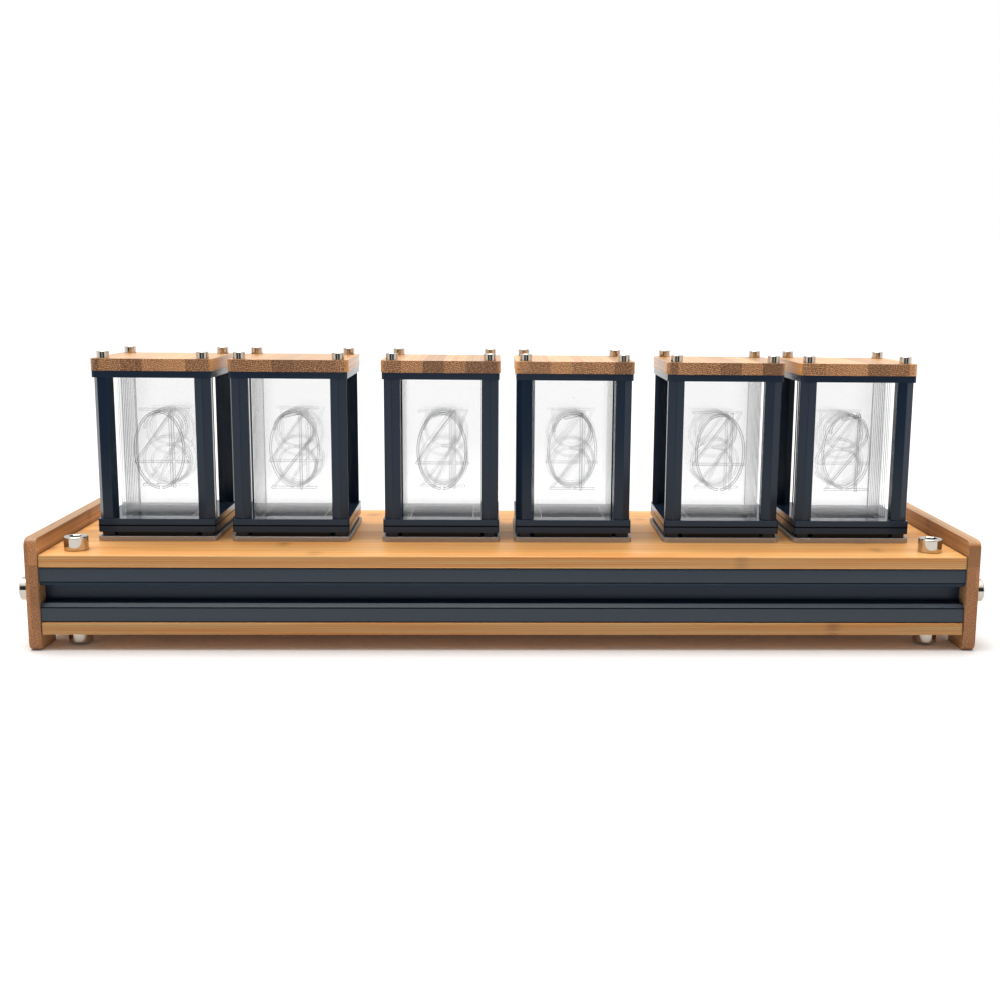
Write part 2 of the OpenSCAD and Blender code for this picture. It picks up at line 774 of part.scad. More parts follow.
cap(0);  // cap_1
cap(1);  // cap_2
cap(2);  // cap_3
cap(3);  // cap_4
cap(4);  // cap_5
cap(5);  // cap_6
top_plate(0);  // top_plate_1
top_plate(1);  // top_plate_2
top_plate(2);  // top_plate_3
top_plate(3);  // top_plate_4
top_plate(4);  // top_plate_5
top_plate(5);  // top_plate_6
digit_sheets(0);  // digit_sheets_1
digit_sheets(1);  // digit_sheets_2
digit_sheets(2);  // digit_sheets_3
digit_sheets(3);  // digit_sheets_4
digit_sheets(4);  // digit_sheets_5
digit_sheets(5);  // digit_sheets_6
slot_plate(0);  // slot_plate_1
slot_plate(1);  // slot_plate_2
slot_plate(2);  // slot_plate_3
slot_plate(3);  // slot_plate_4
slot_plate(4);  // slot_plate_5
slot_plate(5);  // slot_plate_6
light_board(0);  // light_board_1
light_board(1);  // light_board_2
light_board(2);  // light_board_3
light_board(3);  // light_board_4
light_board(4);  // light_board_5
light_board(5);  // light_board_6
foot_plate(0);  // foot_plate_1
foot_plate(1);  // foot_plate_2
foot_plate(2);  // foot_plate_3
foot_plate(3);  // foot_plate_4
foot_plate(4);  // foot_plate_5
foot_plate(5);  // foot_plate_6
mask_plates();
corner_spacers();
posts();
cap_screws();
unit_screws();
left_cheek();
right_cheek();
top_board();
bottom_board();
front_rail();
rear_rail();
cheek_bolts();
board_bolts();
slot_nuts();
main_board();
board_spacers();
board_screws();
cell_holder();
button_cell();
power_socket();
switches();
button_set();
button_plus();
button_minus();
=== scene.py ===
"""Looks of a six-digit edge-lit clock: bamboo, black and clear acrylic, slotted rails and nickel screws."""
import json
import math

import bmesh
import bpy
from mathutils import Matrix, Vector


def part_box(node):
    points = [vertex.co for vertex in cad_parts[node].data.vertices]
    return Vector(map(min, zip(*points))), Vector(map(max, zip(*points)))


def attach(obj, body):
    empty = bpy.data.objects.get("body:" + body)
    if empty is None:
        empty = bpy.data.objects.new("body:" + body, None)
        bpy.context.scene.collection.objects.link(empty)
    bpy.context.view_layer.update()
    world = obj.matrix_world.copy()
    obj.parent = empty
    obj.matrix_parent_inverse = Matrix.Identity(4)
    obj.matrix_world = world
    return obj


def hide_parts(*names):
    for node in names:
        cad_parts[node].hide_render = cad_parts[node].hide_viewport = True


bl_info = {
    "name": "Edge-lit Clock Looks",
    "version": (1, 0, 0),
    "blender": (4, 5, 0),
    "location": "View3D > Sidebar > Clock",
    "description": "Finishes the pieces of a six-digit edge-lit clock and sets up its studio",
    "category": "Object",
}

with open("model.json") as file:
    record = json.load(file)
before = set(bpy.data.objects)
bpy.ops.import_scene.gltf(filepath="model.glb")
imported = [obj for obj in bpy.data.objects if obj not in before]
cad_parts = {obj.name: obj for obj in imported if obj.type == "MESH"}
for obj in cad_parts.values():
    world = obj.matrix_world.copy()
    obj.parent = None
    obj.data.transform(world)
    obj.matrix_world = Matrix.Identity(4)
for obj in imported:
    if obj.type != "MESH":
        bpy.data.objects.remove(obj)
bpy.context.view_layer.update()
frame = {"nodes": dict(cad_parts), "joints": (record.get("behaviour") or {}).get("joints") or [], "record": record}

MM = 0.001
BODY = "clock"
UNITS = range(1, 7)
AXES = "XYZ"
WHITE = (1.0, 1.0, 1.0, 1.0)

# Points closer than WELD are one point, and a face closer than TOUCH to a sheet's front or back lies on it
WELD = 0.001 * MM
TOUCH = 0.01 * MM

# Edges that bend less than FLAT are dissolved, and those that bend more than SHARP are eased
FLAT = math.radians(1)
SHARP = math.radians(30)

# A face with more than FACING of its normal along an axis looks that way,
# and one with more than SLANTED of it along each of two axes is slanted
FACING = 0.9
SLANTED = 0.5

ACRYLIC_IOR = 1.49


def linear(code):
    """Linear RGBA of an sRGB hex colour."""
    channels = [int(code[i:i + 2], 16) / 255 for i in (1, 3, 5)]
    return tuple(c / 12.92 if c <= 0.04045 else ((c + 0.055) / 1.055) ** 2.4 for c in channels) + (1.0,)


def colour(name, description, code):
    """Colour property with a default given as sRGB hex."""
    return bpy.props.FloatVectorProperty(
        name=name, description=description, default=linear(code)[:3], size=3, min=0, max=1, subtype="COLOR")


def length(name, description, millimetres):
    """Length property with a default given in millimetres."""
    return bpy.props.FloatProperty(
        name=name, description=description, default=millimetres * MM, min=0, precision=5, unit="LENGTH")


def lengths(name, description, millimetres):
    """Property of several lengths with defaults given in millimetres."""
    return bpy.props.FloatVectorProperty(
        name=name, description=description, default=[x * MM for x in millimetres], size=len(millimetres),
        min=0, precision=5, unit="LENGTH")


def share(name, description, default):
    """Number from 0 to 1."""
    return bpy.props.FloatProperty(
        name=name, description=description, default=default, min=0, max=1, subtype="FACTOR")


class ClockBamboo(bpy.types.PropertyGroup):
    """Bamboo of the caps, boards and cheeks."""
    pale: colour("Pale tissue", "Colour between the fibre bundles", "#FFC880")
    honey: colour("Honey tissue", "Colour of the darker streaks", "#FBA54E")
    fibre: colour("Fibre bundles", "Colour of the fibre bundles on end grain", "#6A3B1E")
    end: colour("End grain", "Colour of the caps' end grain", "#DDA26B")
    cheek_pale: colour("Pale cheek tissue", "Colour between the cheeks' fibre bundles", "#D4A97B")
    cheek_honey: colour("Honey cheek tissue", "Colour of the cheeks' darker streaks", "#CB925C")
    cheek_end: colour("Cheek end grain", "Colour of the cheeks' end grain", "#CA8952")
    strip: length("Strip width", "Width of the glued strips", 7.8)
    layer: length("Layer height", "Height of a layer of strips", 12)
    bundle: length("Bundle spacing", "Distance between fibre bundles", 0.6)
    streak: lengths("Streaks", "Length and width of the streaks along the grain", (70, 1.3))
    joint: length("Joint spacing", "Distance between the cane's growth joints", 300)
    ease: length("Edge easing", "Width of the sanded edges", 0.3)
    board_ease: length("Board easing", "Width of the boards' sanded edges", 0.6)
    seed: bpy.props.IntProperty(name="Seed", description="Chance that sets the strips' tones", default=347)


class ClockAcrylic(bpy.types.PropertyGroup):
    """Black plates and clear sheets of the digit units."""
    black: colour("Black", "Colour of the top plates", "#222F40")
    lower: colour("Lower black", "Colour of the slot plates and mask plates", "#2B3C52")
    dust: colour("Dust", "Colour of dust on the acrylic", "#6A7078")
    plate_dust: lengths("Dust on plates", "Spacing and largest radius of the specks on plates", (3.2, 0.07))
    sheet_dust: lengths("Dust on sheets", "Spacing and largest radius of the specks on sheets", (14, 0.3))
    clear: colour("Clear", "Tint of the clear sheets", "#FFFFFF")
    etched: colour("Etched", "Tint of the engraved lines", "#EAEAEB")
    rim_tint: colour("Engraved rim", "Tint of the engraved lines' rims on the front sheet", "#68696C")
    rim_rear: colour("Rear engraved rim", "Tint of the engraved lines' rims on the rear sheet", "#B8B8BB")
    rim: length("Rim width", "Width of the rims of the engraved lines", 0.24)
    etched_roughness: share("Etched roughness", "Roughness of the engraved lines", 0.0)
    numeral: lengths("Numeral field", "Half width and half height of a sheet's engraved field", (10.5, 16.5))
    stack: length("Sheet stack", "Half the depth of the stack of sheets", 14)
    ease: length("Edge easing", "Width of the plates' edges", 0.4)


# Sizes of a screw, in the order that its property holds them
SCREW_SIZES = ("Head diameter", "Head height", "Thread", "Key", "Edge")
SCREW_TEXT = "Head diameter, head height, thread, key and rounded edge"


class ClockMetal(bpy.types.PropertyGroup):
    """Rails, foot plates, posts and screws."""
    rail: colour("Rail", "Colour of the anodised rails", "#22303F")
    # painted shade: the slots' inside is given a darker colour than the faces
    slot: colour("Slot", "Colour inside the rails' slots", "#15273D")
    scuff: colour("Scuffs", "Colour of rubbed spots on the rails", "#A9AEB5")
    slot_scuff: colour("Slot scuffs", "Colour of rubbed spots inside the slots", "#22364C")
    # painted sheen: the flanks are paler than the faces, and their spots are partly rubbed wear and partly painted
    # glints
    flank: colour("Slot flanks", "Colour of the slanted flanks beside the slots", "#333F4A")
    flank_scuff_and_glint: colour("Flank scuffs", "Colour of rubbed spots on the flanks", "#55606C")
    # painted shade: the rails' bevels get this near-black colour as thin dark lines
    edge: colour("Rail edges", "Colour of the rails' drawn edges", "#0C1622")
    nickel: colour("Nickel", "Colour of the plated screws", "#BDB6AC")
    foot: colour("Foot plate", "Colour of the grey plates under the units", "#ACA9A7")
    post: colour("Post", "Colour of the hexagonal posts", "#1A2B3F")
    rail_ease: length("Rail edge", "Width of the rails' drawn edges", 0.25)
    inner_ease: share("Inner rail edge", "Width of the slots' inner edges, as a share of the others", 0.4)
    lip: length("Lip depth", "Depth at which a rail's faces end", 0.5)
    # painted shade: slot faces deeper than this get the darker colour
    flank_depth: length("Flank depth", "Depth at which a rail's slot turns dark", 1.2)
    post_ease: length("Post edge", "Width of the posts' and foot plates' edges", 0.3)
    small_screw: lengths("Cap and unit screws", SCREW_TEXT, (4.5, 2.5, 2.5, 2, 0.25))
    flat_screw: lengths("Board screws", SCREW_TEXT, (4.5, 1.6, 2.5, 1.25, 0.2))
    bolt: lengths("Board and cheek bolts", SCREW_TEXT, (8.5, 5, 5, 4, 0.45))


class ClockInside(bpy.types.PropertyGroup):
    """Circuit boards, switches and buttons."""
    mask: colour("Solder mask", "Colour of the light boards", "#080C10")
    mask_track: colour("Masked tracks", "Colour of tracks under the light boards' mask", "#11171D")
    board: colour("Main board", "Colour of the main board", "#14402A")
    copper: colour("Tracks", "Colour of tracks under the main board's mask", "#2C6A48")
    plastic: colour("Plastic", "Colour of the moulded pieces", "#1B1F24")
    ease: length("Moulded edge", "Width of the moulded edges", 0.25)


class ClockStage(bpy.types.PropertyGroup):
    """Floor, light and camera."""
    floor: colour("Floor", "Colour of the paper floor", "#F8F7F6")
    reach: bpy.props.FloatProperty(
        name="Floor reach", description="Half the side of the floor", default=12.0, min=0, unit="LENGTH")
    fill: bpy.props.FloatProperty(
        name="Fill light", description="Strength of the white light from straight above", default=0.7, min=0)
    key: bpy.props.FloatProperty(
        name="Key light", description="Strength of the soft light from above", default=2.75, min=0)
    key_angle: bpy.props.FloatProperty(
        name="Key softness", description="Angle that the key light covers", default=math.radians(45), min=0,
        subtype="ANGLE")
    key_turn: bpy.props.FloatVectorProperty(
        name="Key turn", description="Turn of the key light from straight above",
        default=[math.radians(a) for a in (-3, -6, 0)], size=3, subtype="EULER")
    lift: share("Floor lift", "Light that the floor adds where it is seen", 0.02)
    haze: share("Haze", "Brightness of the far floor through the clear sheets", 0.88)
    eye: bpy.props.FloatVectorProperty(
        name="Camera", description="Place of the camera", default=(-0.005, -0.4932, 0.129), size=3,
        subtype="TRANSLATION", unit="LENGTH")
    turn: bpy.props.FloatVectorProperty(
        name="Camera turn", description="Yaw to the right, pitch upwards and roll of the camera",
        default=[math.radians(a) for a in (1.86, -9.787, -0.527)], size=3, subtype="EULER")
    lens: bpy.props.FloatProperty(
        name="Lens", description="Focal length on a 36 mm sensor", default=46.25, min=1, unit="CAMERA")
    shift: bpy.props.FloatVectorProperty(
        name="Shift", description="Shift of the picture, in picture widths", default=(-0.0351, 0.0079),
        size=2)


def add(tree, kind, inputs=None, **settings):
    """Adds a node: settings are its attributes, inputs its sockets' values or the sockets they link to."""
    made = tree.nodes.new(kind)
    for key, value in settings.items():
        setattr(made, key, value)
    for key, value in (inputs or {}).items():
        if isinstance(value, bpy.types.NodeSocket):
            tree.links.new(value, made.inputs[key])
        else:
            made.inputs[key].default_value = value
    return made


def new_material(name):
    """Empty material with its shader, and the object's coordinates."""
    material = bpy.data.materials.new(name)
    material.use_nodes = True
    tree = material.node_tree
    tree.nodes.clear()
    shader = add(tree, "ShaderNodeBsdfPrincipled")
    add(tree, "ShaderNodeOutputMaterial", {"Surface": shader.outputs[0]})
    place = add(tree, "ShaderNodeTexCoord")
    return material, tree, shader, place


def opaque(rgb):
    """RGBA of a colour property."""
    return (*rgb, 1.0)


def per(millimetres):
    """Repeats in a metre of a pattern with this size."""
    return 1 / (millimetres * MM)


def surface_marks(tree, place, sizes, detail):
    """Share of uneven marks in a surface, which have these sizes along each axis, in millimetres."""
    at = add(tree, "ShaderNodeVectorMath", {0: place.outputs["Object"], 1: [per(x) for x in sizes]},
             operation="MULTIPLY").outputs[0]
    return add(tree, "ShaderNodeTexNoise", {"Vector": at, "Scale": 1.0, "Detail": detail}).outputs[0]


def bamboo(name, along, across, looks, tones, wax, contrast, spread, flank):
    """Laminated bamboo, sanded: glued strips of fibre bundles under a thin finish.

    The bundles run along one axis, so they show as long streaks on the faces and as dark flecks on the end
    grain. Tones are its pale, honey and end grain colours, wax the share of polish that lightens the faces
    seen at a flat angle, contrast the flecks' darkness, spread the range of the strips' brightness, and
    flank a factor on the brightness of the faces that look across the strips: painted light above 1 and
    painted shade below 1, by the way those faces look."""
    material, tree, shader, place = new_material(name)
    through = (set(AXES) - {along, across}).pop()
    at = add(tree, "ShaderNodeSeparateXYZ", {0: place.outputs["Object"]}).outputs
    facing = add(tree, "ShaderNodeSeparateXYZ", {0: place.outputs["Normal"]}).outputs

    # each strip has its own tone, and its streaks start at another place: the strips' numbers rise by
    # layer_step from one layer to the next, and the streaks' starts differ by up to run_step
    layer_step = 17.0
    run_step = 700 * MM
    strip = add(tree, "ShaderNodeMath", {0: at[across], 1: 1 / looks.strip}, operation="MULTIPLY")
    strip = add(tree, "ShaderNodeMath", {0: strip.outputs[0]}, operation="FLOOR")
    layer = add(tree, "ShaderNodeMath", {0: at[through], 1: 1 / looks.layer}, operation="MULTIPLY")
    layer = add(tree, "ShaderNodeMath", {0: layer.outputs[0]}, operation="FLOOR")
    layer = add(tree, "ShaderNodeMath", {0: layer.outputs[0], 1: layer_step, 2: looks.seed},
                operation="MULTIPLY_ADD")
    strip = add(tree, "ShaderNodeMath", {0: strip.outputs[0], 1: layer.outputs[0]}, operation="ADD")
    tone = add(tree, "ShaderNodeTexWhiteNoise", {"W": strip.outputs[0]},
               noise_dimensions="1D").outputs["Value"]
    run = add(tree, "ShaderNodeMath", {0: tone, 1: run_step, 2: at[along]},
              operation="MULTIPLY_ADD").outputs[0]

    # fibre bundles in a staggered field, turned another way in each strip and thicker in the dark strips
    section = add(tree, "ShaderNodeCombineXYZ", {0: at[across], 1: at[through]}).outputs[0]
    lean = add(tree, "ShaderNodeMapRange", {0: tone, 3: -0.7, 4: 0.7}).outputs[0]
    section = add(tree, "ShaderNodeVectorRotate", {"Vector": section, "Angle": lean},
                  rotation_type="Z_AXIS").outputs[0]
    section = add(tree, "ShaderNodeVectorMath", {0: section, 1: (1.2, 0.85, 1.0)},
                  operation="MULTIPLY").outputs[0]
    bundles = add(tree, "ShaderNodeTexVoronoi",
                  {"Vector": section, "Scale": 1 / looks.bundle, "Randomness": 0.5},
                  voronoi_dimensions="2D").outputs["Distance"]
    reach = add(tree, "ShaderNodeMapRange", {0: tone, 3: 0.74, 4: 0.42}).outputs[0]
    dots = add(tree, "ShaderNodeMapRange", {0: bundles, 1: 0.2, 2: reach, 3: 1.0, 4: 0.0},
               interpolation_type="SMOOTHSTEP").outputs[0]

    # soft streaks along the grain
    grain = add(tree, "ShaderNodeCombineXYZ", {0: run, 1: at[across], 2: at[through]}).outputs[0]
    repeats = [1 / looks.streak[i] for i in (0, 1, 1)]
    grain = add(tree, "ShaderNodeVectorMath", {0: grain, 1: repeats}, operation="MULTIPLY").outputs[0]
    streaks = add(tree, "ShaderNodeTexNoise", {"Vector": grain, "Scale": 1.0, "Detail": 5.0}).outputs[0]
    streaks = add(tree, "ShaderNodeMapRange", {0: streaks, 1: 0.32, 2: 0.68}).outputs[0]

    # growth joints of the cane: narrow brown bands that cross a strip now and then
    joint = add(tree, "ShaderNodeMath", {0: run, 1: 1 / looks.joint}, operation="MULTIPLY")
    joint = add(tree, "ShaderNodeMath", {0: joint.outputs[0], 1: 0.5}, operation="PINGPONG")
    joint = add(tree, "ShaderNodeMapRange", {0: joint.outputs[0], 1: 0.0, 2: 0.014, 3: 1.0, 4: 0.0},
                interpolation_type="SMOOTHSTEP")
    joint = add(tree, "ShaderNodeMath", {0: joint.outputs[0], 1: streaks}, operation="MULTIPLY").outputs[0]

    # tissue, then bundles, which are faint along the grain and dark across it
    pale, honey, end_tissue = (opaque(rgb) for rgb in tones)
    end = add(tree, "ShaderNodeMath", {0: facing[along]}, operation="ABSOLUTE")
    end = add(tree, "ShaderNodeMapRange", {0: end.outputs[0], 1: 0.55, 2: 0.9}).outputs[0]
    tissue = add(tree, "ShaderNodeMix", {0: streaks, 6: pale, 7: honey}, data_type="RGBA").outputs[2]
    tissue = add(tree, "ShaderNodeMix", {0: end, 6: tissue, 7: end_tissue}, data_type="RGBA").outputs[2]
    depth = add(tree, "ShaderNodeMapRange", {0: end, 3: 0.22, 4: contrast}).outputs[0]
    depth = add(tree, "ShaderNodeMath", {0: depth, 1: dots}, operation="MULTIPLY").outputs[0]
    depth = add(tree, "ShaderNodeMath", {0: joint, 1: 0.45, 2: depth}, operation="MULTIPLY_ADD").outputs[0]
    wood = add(tree, "ShaderNodeMix", {0: depth, 6: tissue, 7: opaque(looks.fibre)},
               data_type="RGBA").outputs[2]

    # each strip's brightness, and painted light and shade on the faces that look across the strips, by the way
    # they face
    bright = add(tree, "ShaderNodeMapRange", {0: tone, 3: spread[0], 4: spread[1]}).outputs[0]
    painted_side_shading = add(tree, "ShaderNodeMath", {0: facing[across]}, operation="ABSOLUTE").outputs[0]
    painted_side_shading = add(tree, "ShaderNodeMapRange", {0: painted_side_shading, 1: 0.6, 2: 0.95, 3: 1.0, 4: flank}).outputs[0]
    bright = add(tree, "ShaderNodeMath", {0: bright, 1: painted_side_shading}, operation="MULTIPLY").outputs[0]
    wood = add(tree, "ShaderNodeHueSaturation", {"Value": bright, "Color": wood}).outputs[0]
    tree.links.new(wood, shader.inputs["Base Color"])

    # the bundles are duller than the tissue and stand a little proud of it
    rough = add(tree, "ShaderNodeMapRange", {0: dots, 3: 0.42, 4: 0.55}).outputs[0]
    tree.links.new(rough, shader.inputs["Roughness"])
    relief = add(tree, "ShaderNodeBump", {"Strength": 0.12, "Distance": 0.1 * MM, "Height": dots})
    tree.links.new(relief.outputs[0], shader.inputs["Normal"])
    shader.inputs["Coat Weight"].default_value = wax
    shader.inputs["Coat Roughness"].default_value = 0.2
    return material


def dust(tree, place, sizes):
    """Share of dust: at most one round speck in each cell of a spacing, with a radius up to a size."""
    spacing, size = sizes
    at = place.outputs["Object"]
    cells = add(tree, "ShaderNodeTexVoronoi", {"Vector": at, "Scale": 1 / spacing}).outputs
    reach = add(tree, "ShaderNodeSeparateColor", {0: cells["Color"]}).outputs[0]
    reach = add(tree, "ShaderNodeMapRange", {0: reach, 1: 0.3, 2: 1.0, 3: 0.0, 4: size / spacing}).outputs[0]
    return add(tree, "ShaderNodeMath", {0: cells["Distance"], 1: reach}, operation="LESS_THAN").outputs[0]


def black_acrylic(name, tint, looks, seam, gloss):
    """Cast acrylic, black and laser-cut: deep gloss with a little dust, and finely ribbed edges.

    Seam is the height at which two plates meet; colour and gloss are darkened in a thin band there, a painted
    shade line in the crease."""
    material, tree, shader, place = new_material(name)
    specks = dust(tree, place, looks.plate_dust)
    body = add(tree, "ShaderNodeMix", {0: specks, 6: opaque(tint), 7: opaque(looks.dust)},
               data_type="RGBA").outputs[2]
    # painted shade: colour and gloss fade to dark in a thin band at the seam's height, where the plates meet
    height = add(tree, "ShaderNodeSeparateXYZ", {0: place.outputs["Object"]}).outputs["Z"]
    painted_seam_shade = add(tree, "ShaderNodeMath", {0: height, 1: seam}, operation="SUBTRACT").outputs[0]
    painted_seam_shade = add(tree, "ShaderNodeMath", {0: painted_seam_shade}, operation="ABSOLUTE").outputs[0]
    painted_seam_shade = add(tree, "ShaderNodeMapRange", {0: painted_seam_shade, 1: 0.1 * MM, 2: looks.ease}).outputs[0]
    body = add(tree, "ShaderNodeHueSaturation", {"Value": painted_seam_shade, "Color": body}).outputs[0]
    tree.links.new(body, shader.inputs["Base Color"])
    level = add(tree, "ShaderNodeMath", {0: painted_seam_shade, 1: gloss}, operation="MULTIPLY").outputs[0]
    tree.links.new(level, shader.inputs["Specular IOR Level"])

    # the cutting beam leaves upright ribs, 0.25 mm apart, on the edges alone
    ribs = surface_marks(tree, place, (0.25, 0.25, 6), detail=2.0)
    up = add(tree, "ShaderNodeSeparateXYZ", {0: place.outputs["Normal"]}).outputs["Z"]
    edge = add(tree, "ShaderNodeMath", {0: up}, operation="ABSOLUTE").outputs[0]
    edge = add(tree, "ShaderNodeMapRange", {0: edge, 1: 0.3, 2: 0.8, 3: 1.0, 4: 0.0}).outputs[0]
    ribs = add(tree, "ShaderNodeMath", {0: ribs, 1: edge}, operation="MULTIPLY").outputs[0]
    relief = add(tree, "ShaderNodeBump", {"Strength": 0.12, "Distance": 0.05 * MM, "Height": ribs})
    tree.links.new(relief.outputs[0], shader.inputs["Normal"])
    rough = add(tree, "ShaderNodeMapRange", {0: edge, 3: 0.06, 4: 0.2}).outputs[0]
    tree.links.new(rough, shader.inputs["Roughness"])
    shader.inputs["IOR"].default_value = ACRYLIC_IOR
    return material


def clear_acrylic(name, tint, roughness, gloss, ribs=None, rear=None, specks=None):
    """Cast acrylic, clear: it shows what is behind it, a little darker or bent by its surface.

    Gloss is low on the faces, because twenty faces in a row would otherwise dim what is seen through them.
    Ribs is the size of the cut's ribs along each axis, in millimetres. Rear is the tint at the rear of the
    stack of sheets and half the stack's depth: the tint then changes from front to rear. Specks is the
    colour of the dust on it and the dust's sizes."""
    material, tree, shader, place = new_material(name)
    shader.inputs["Roughness"].default_value = roughness
    if ribs:
        noise = surface_marks(tree, place, ribs, detail=3.0)
        rough = add(tree, "ShaderNodeMapRange", {0: noise, 1: 0.35, 2: 0.65, 4: roughness}).outputs[0]
        tree.links.new(rough, shader.inputs["Roughness"])
        relief = add(tree, "ShaderNodeBump", {"Strength": 0.2, "Distance": 0.05 * MM, "Height": noise})
        tree.links.new(relief.outputs[0], shader.inputs["Normal"])
    shader.inputs["Base Color"].default_value = opaque(tint)
    if specks:
        speck_tint, sizes = specks
        tints = add(tree, "ShaderNodeMix",
                    {0: dust(tree, place, sizes), 6: opaque(tint), 7: opaque(speck_tint)}, data_type="RGBA")
        tree.links.new(tints.outputs[2], shader.inputs["Base Color"])
    if rear:
        rear_tint, reach = rear
        back = add(tree, "ShaderNodeSeparateXYZ", {0: place.outputs["Object"]}).outputs["Y"]
        back = add(tree, "ShaderNodeMapRange", {0: back, 1: -reach, 2: reach}).outputs[0]
        tints = add(tree, "ShaderNodeMix", {0: back, 6: opaque(tint), 7: opaque(rear_tint)},
                    data_type="RGBA")
        tree.links.new(tints.outputs[2], shader.inputs["Base Color"])
    shader.inputs["Transmission Weight"].default_value = 1.0
    shader.inputs["Specular IOR Level"].default_value = gloss
    shader.inputs["IOR"].default_value = ACRYLIC_IOR
    return material


def anodised_rail(name, body, scuff, gloss, wear=(0.74, 0.8)):
    """Aluminium extrusion, black anodised: satin, with fine lines along its length and a few rubbed spots.

    Wear is the range of the noise in which the rubbed spots come up."""
    material, tree, shader, place = new_material(name)
    lines = surface_marks(tree, place, (60, 0.3, 0.3), detail=3.0)
    rubbed = surface_marks(tree, place, (9, 1.2, 1.2), detail=6.0)
    rubbed = add(tree, "ShaderNodeMapRange", {0: rubbed, 1: wear[0], 2: wear[1]}).outputs[0]
    skin = add(tree, "ShaderNodeMix", {0: rubbed, 6: opaque(body), 7: opaque(scuff)},
               data_type="RGBA").outputs[2]
    tree.links.new(skin, shader.inputs["Base Color"])
    rough = add(tree, "ShaderNodeMapRange", {0: lines, 3: 0.26, 4: 0.4}).outputs[0]
    tree.links.new(rough, shader.inputs["Roughness"])
    relief = add(tree, "ShaderNodeBump", {"Strength": 0.08, "Distance": 0.05 * MM, "Height": lines})
    tree.links.new(relief.outputs[0], shader.inputs["Normal"])
    shader.inputs["Specular IOR Level"].default_value = gloss
    return material


def fine_grit(name, tint, roughness, grit, metallic=1.0, gloss=0.5):
    """Metal or moulded stock with a fine grit, which varies its roughness and breaks its reflections.

    Grit is the size of its grains, in millimetres."""
    material, tree, shader, place = new_material(name)
    noise = add(tree, "ShaderNodeTexNoise",
                {"Vector": place.outputs["Object"], "Scale": per(grit), "Detail": 4.0}).outputs[0]
    rough = add(tree, "ShaderNodeMapRange", {0: noise, 3: roughness * 0.7, 4: roughness * 1.3}).outputs[0]
    tree.links.new(rough, shader.inputs["Roughness"])
    dull = add(tree, "ShaderNodeMapRange", {0: noise, 3: 0.94, 4: 1.06}).outputs[0]
    tinted = add(tree, "ShaderNodeHueSaturation", {"Value": dull, "Color": opaque(tint)}).outputs[0]
    tree.links.new(tinted, shader.inputs["Base Color"])
    relief = add(tree, "ShaderNodeBump", {"Strength": 0.04, "Distance": 0.05 * MM, "Height": noise})
    tree.links.new(relief.outputs[0], shader.inputs["Normal"])
    shader.inputs["Metallic"].default_value = metallic
    shader.inputs["Specular IOR Level"].default_value = gloss
    return material


def circuit_board(name, mask, track):
    """Glass-fibre board under solder mask: a dark satin skin, with tracks that show as paler lines.

    The tracks bend round points about 2.6 mm apart, with six tracks to that distance."""
    point_spacing = 2.6
    tracks = 6.0
    material, tree, shader, place = new_material(name)
    cells = add(tree, "ShaderNodeTexVoronoi",
                {"Vector": place.outputs["Object"], "Scale": per(point_spacing)},
                distance="MANHATTAN", feature="F1").outputs["Distance"]
    lines = add(tree, "ShaderNodeMath", {0: cells, 1: tracks}, operation="MULTIPLY").outputs[0]
    lines = add(tree, "ShaderNodeMath", {0: lines, 1: 0.5}, operation="PINGPONG").outputs[0]
    lines = add(tree, "ShaderNodeMapRange", {0: lines, 1: 0.2, 2: 0.3}).outputs[0]
    skin = add(tree, "ShaderNodeMix", {0: lines, 6: opaque(mask), 7: opaque(track)},
               data_type="RGBA").outputs[2]
    tree.links.new(skin, shader.inputs["Base Color"])
    relief = add(tree, "ShaderNodeBump", {"Strength": 0.2, "Distance": 0.04 * MM, "Height": lines})
    tree.links.new(relief.outputs[0], shader.inputs["Normal"])
    shader.inputs["Roughness"].default_value = 0.32
    shader.inputs["Specular IOR Level"].default_value = 0.2
    return material


def welded(node):
    """Copy of a node's mesh, with its loose triangles joined."""
    mesh = bmesh.new()
    mesh.from_mesh(frame["nodes"][node].data)
    bmesh.ops.remove_doubles(mesh, verts=mesh.verts, dist=WELD)
    return mesh


def solid_boxes(node):
    """Lowest and highest corner of each separate solid of a node."""
    mesh = welded(node)
    left = set(mesh.verts)
    boxes = []
    while left:
        reached = [left.pop()]
        for vert in reached:
            near = {edge.other_vert(vert) for edge in vert.link_edges} & left
            left -= near
            reached.extend(near)
        low, high = (Vector([pick(v.co[i] for v in reached) for i in range(3)]) for pick in (min, max))
        boxes.append((low, high))
    mesh.free()
    return sorted(boxes, key=lambda box: tuple(round(x, 5) for x in box[0]))


def plain_mesh(source, name):
    """Mesh from a bmesh, which it frees: edges that bend much are sharp, and no stored normals are left."""
    mesh = bpy.data.meshes.new(name)
    source.to_mesh(mesh)
    source.free()
    stored = mesh.attributes.get("custom_normal")
    if stored:
        mesh.attributes.remove(stored)
    mesh.set_sharp_from_angle(angle=SHARP)
    return mesh


def piece(name, mesh, materials, nodes, body=BODY):
    """Object that stands for CAD nodes and moves with a body."""
    for material in materials:
        mesh.materials.append(material)
    made = bpy.data.objects.new(name, mesh)
    bpy.context.scene.collection.objects.link(made)
    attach(made, body)
    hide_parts(*nodes)
    return made


def eased(node, material, width, body=BODY):
    """Copy of a node with eased edges."""
    source = welded(node)
    bmesh.ops.dissolve_limit(source, angle_limit=FLAT, verts=source.verts, edges=source.edges)
    for face in source.faces:
        face.smooth = True
    mesh = plain_mesh(source, node + "_eased")
    made = piece(node + "_eased", mesh, [material], [node], body)
    bevel = made.modifiers.new("Eased edges", "BEVEL")
    bevel.width = width
    bevel.segments = 2
    bevel.limit_method = "ANGLE"
    bevel.angle_limit = SHARP
    bevel.harden_normals = True
    return made


def dress(node, material):
    """Gives a CAD node its material."""
    for slot in frame["nodes"][node].material_slots:
        slot.material = material


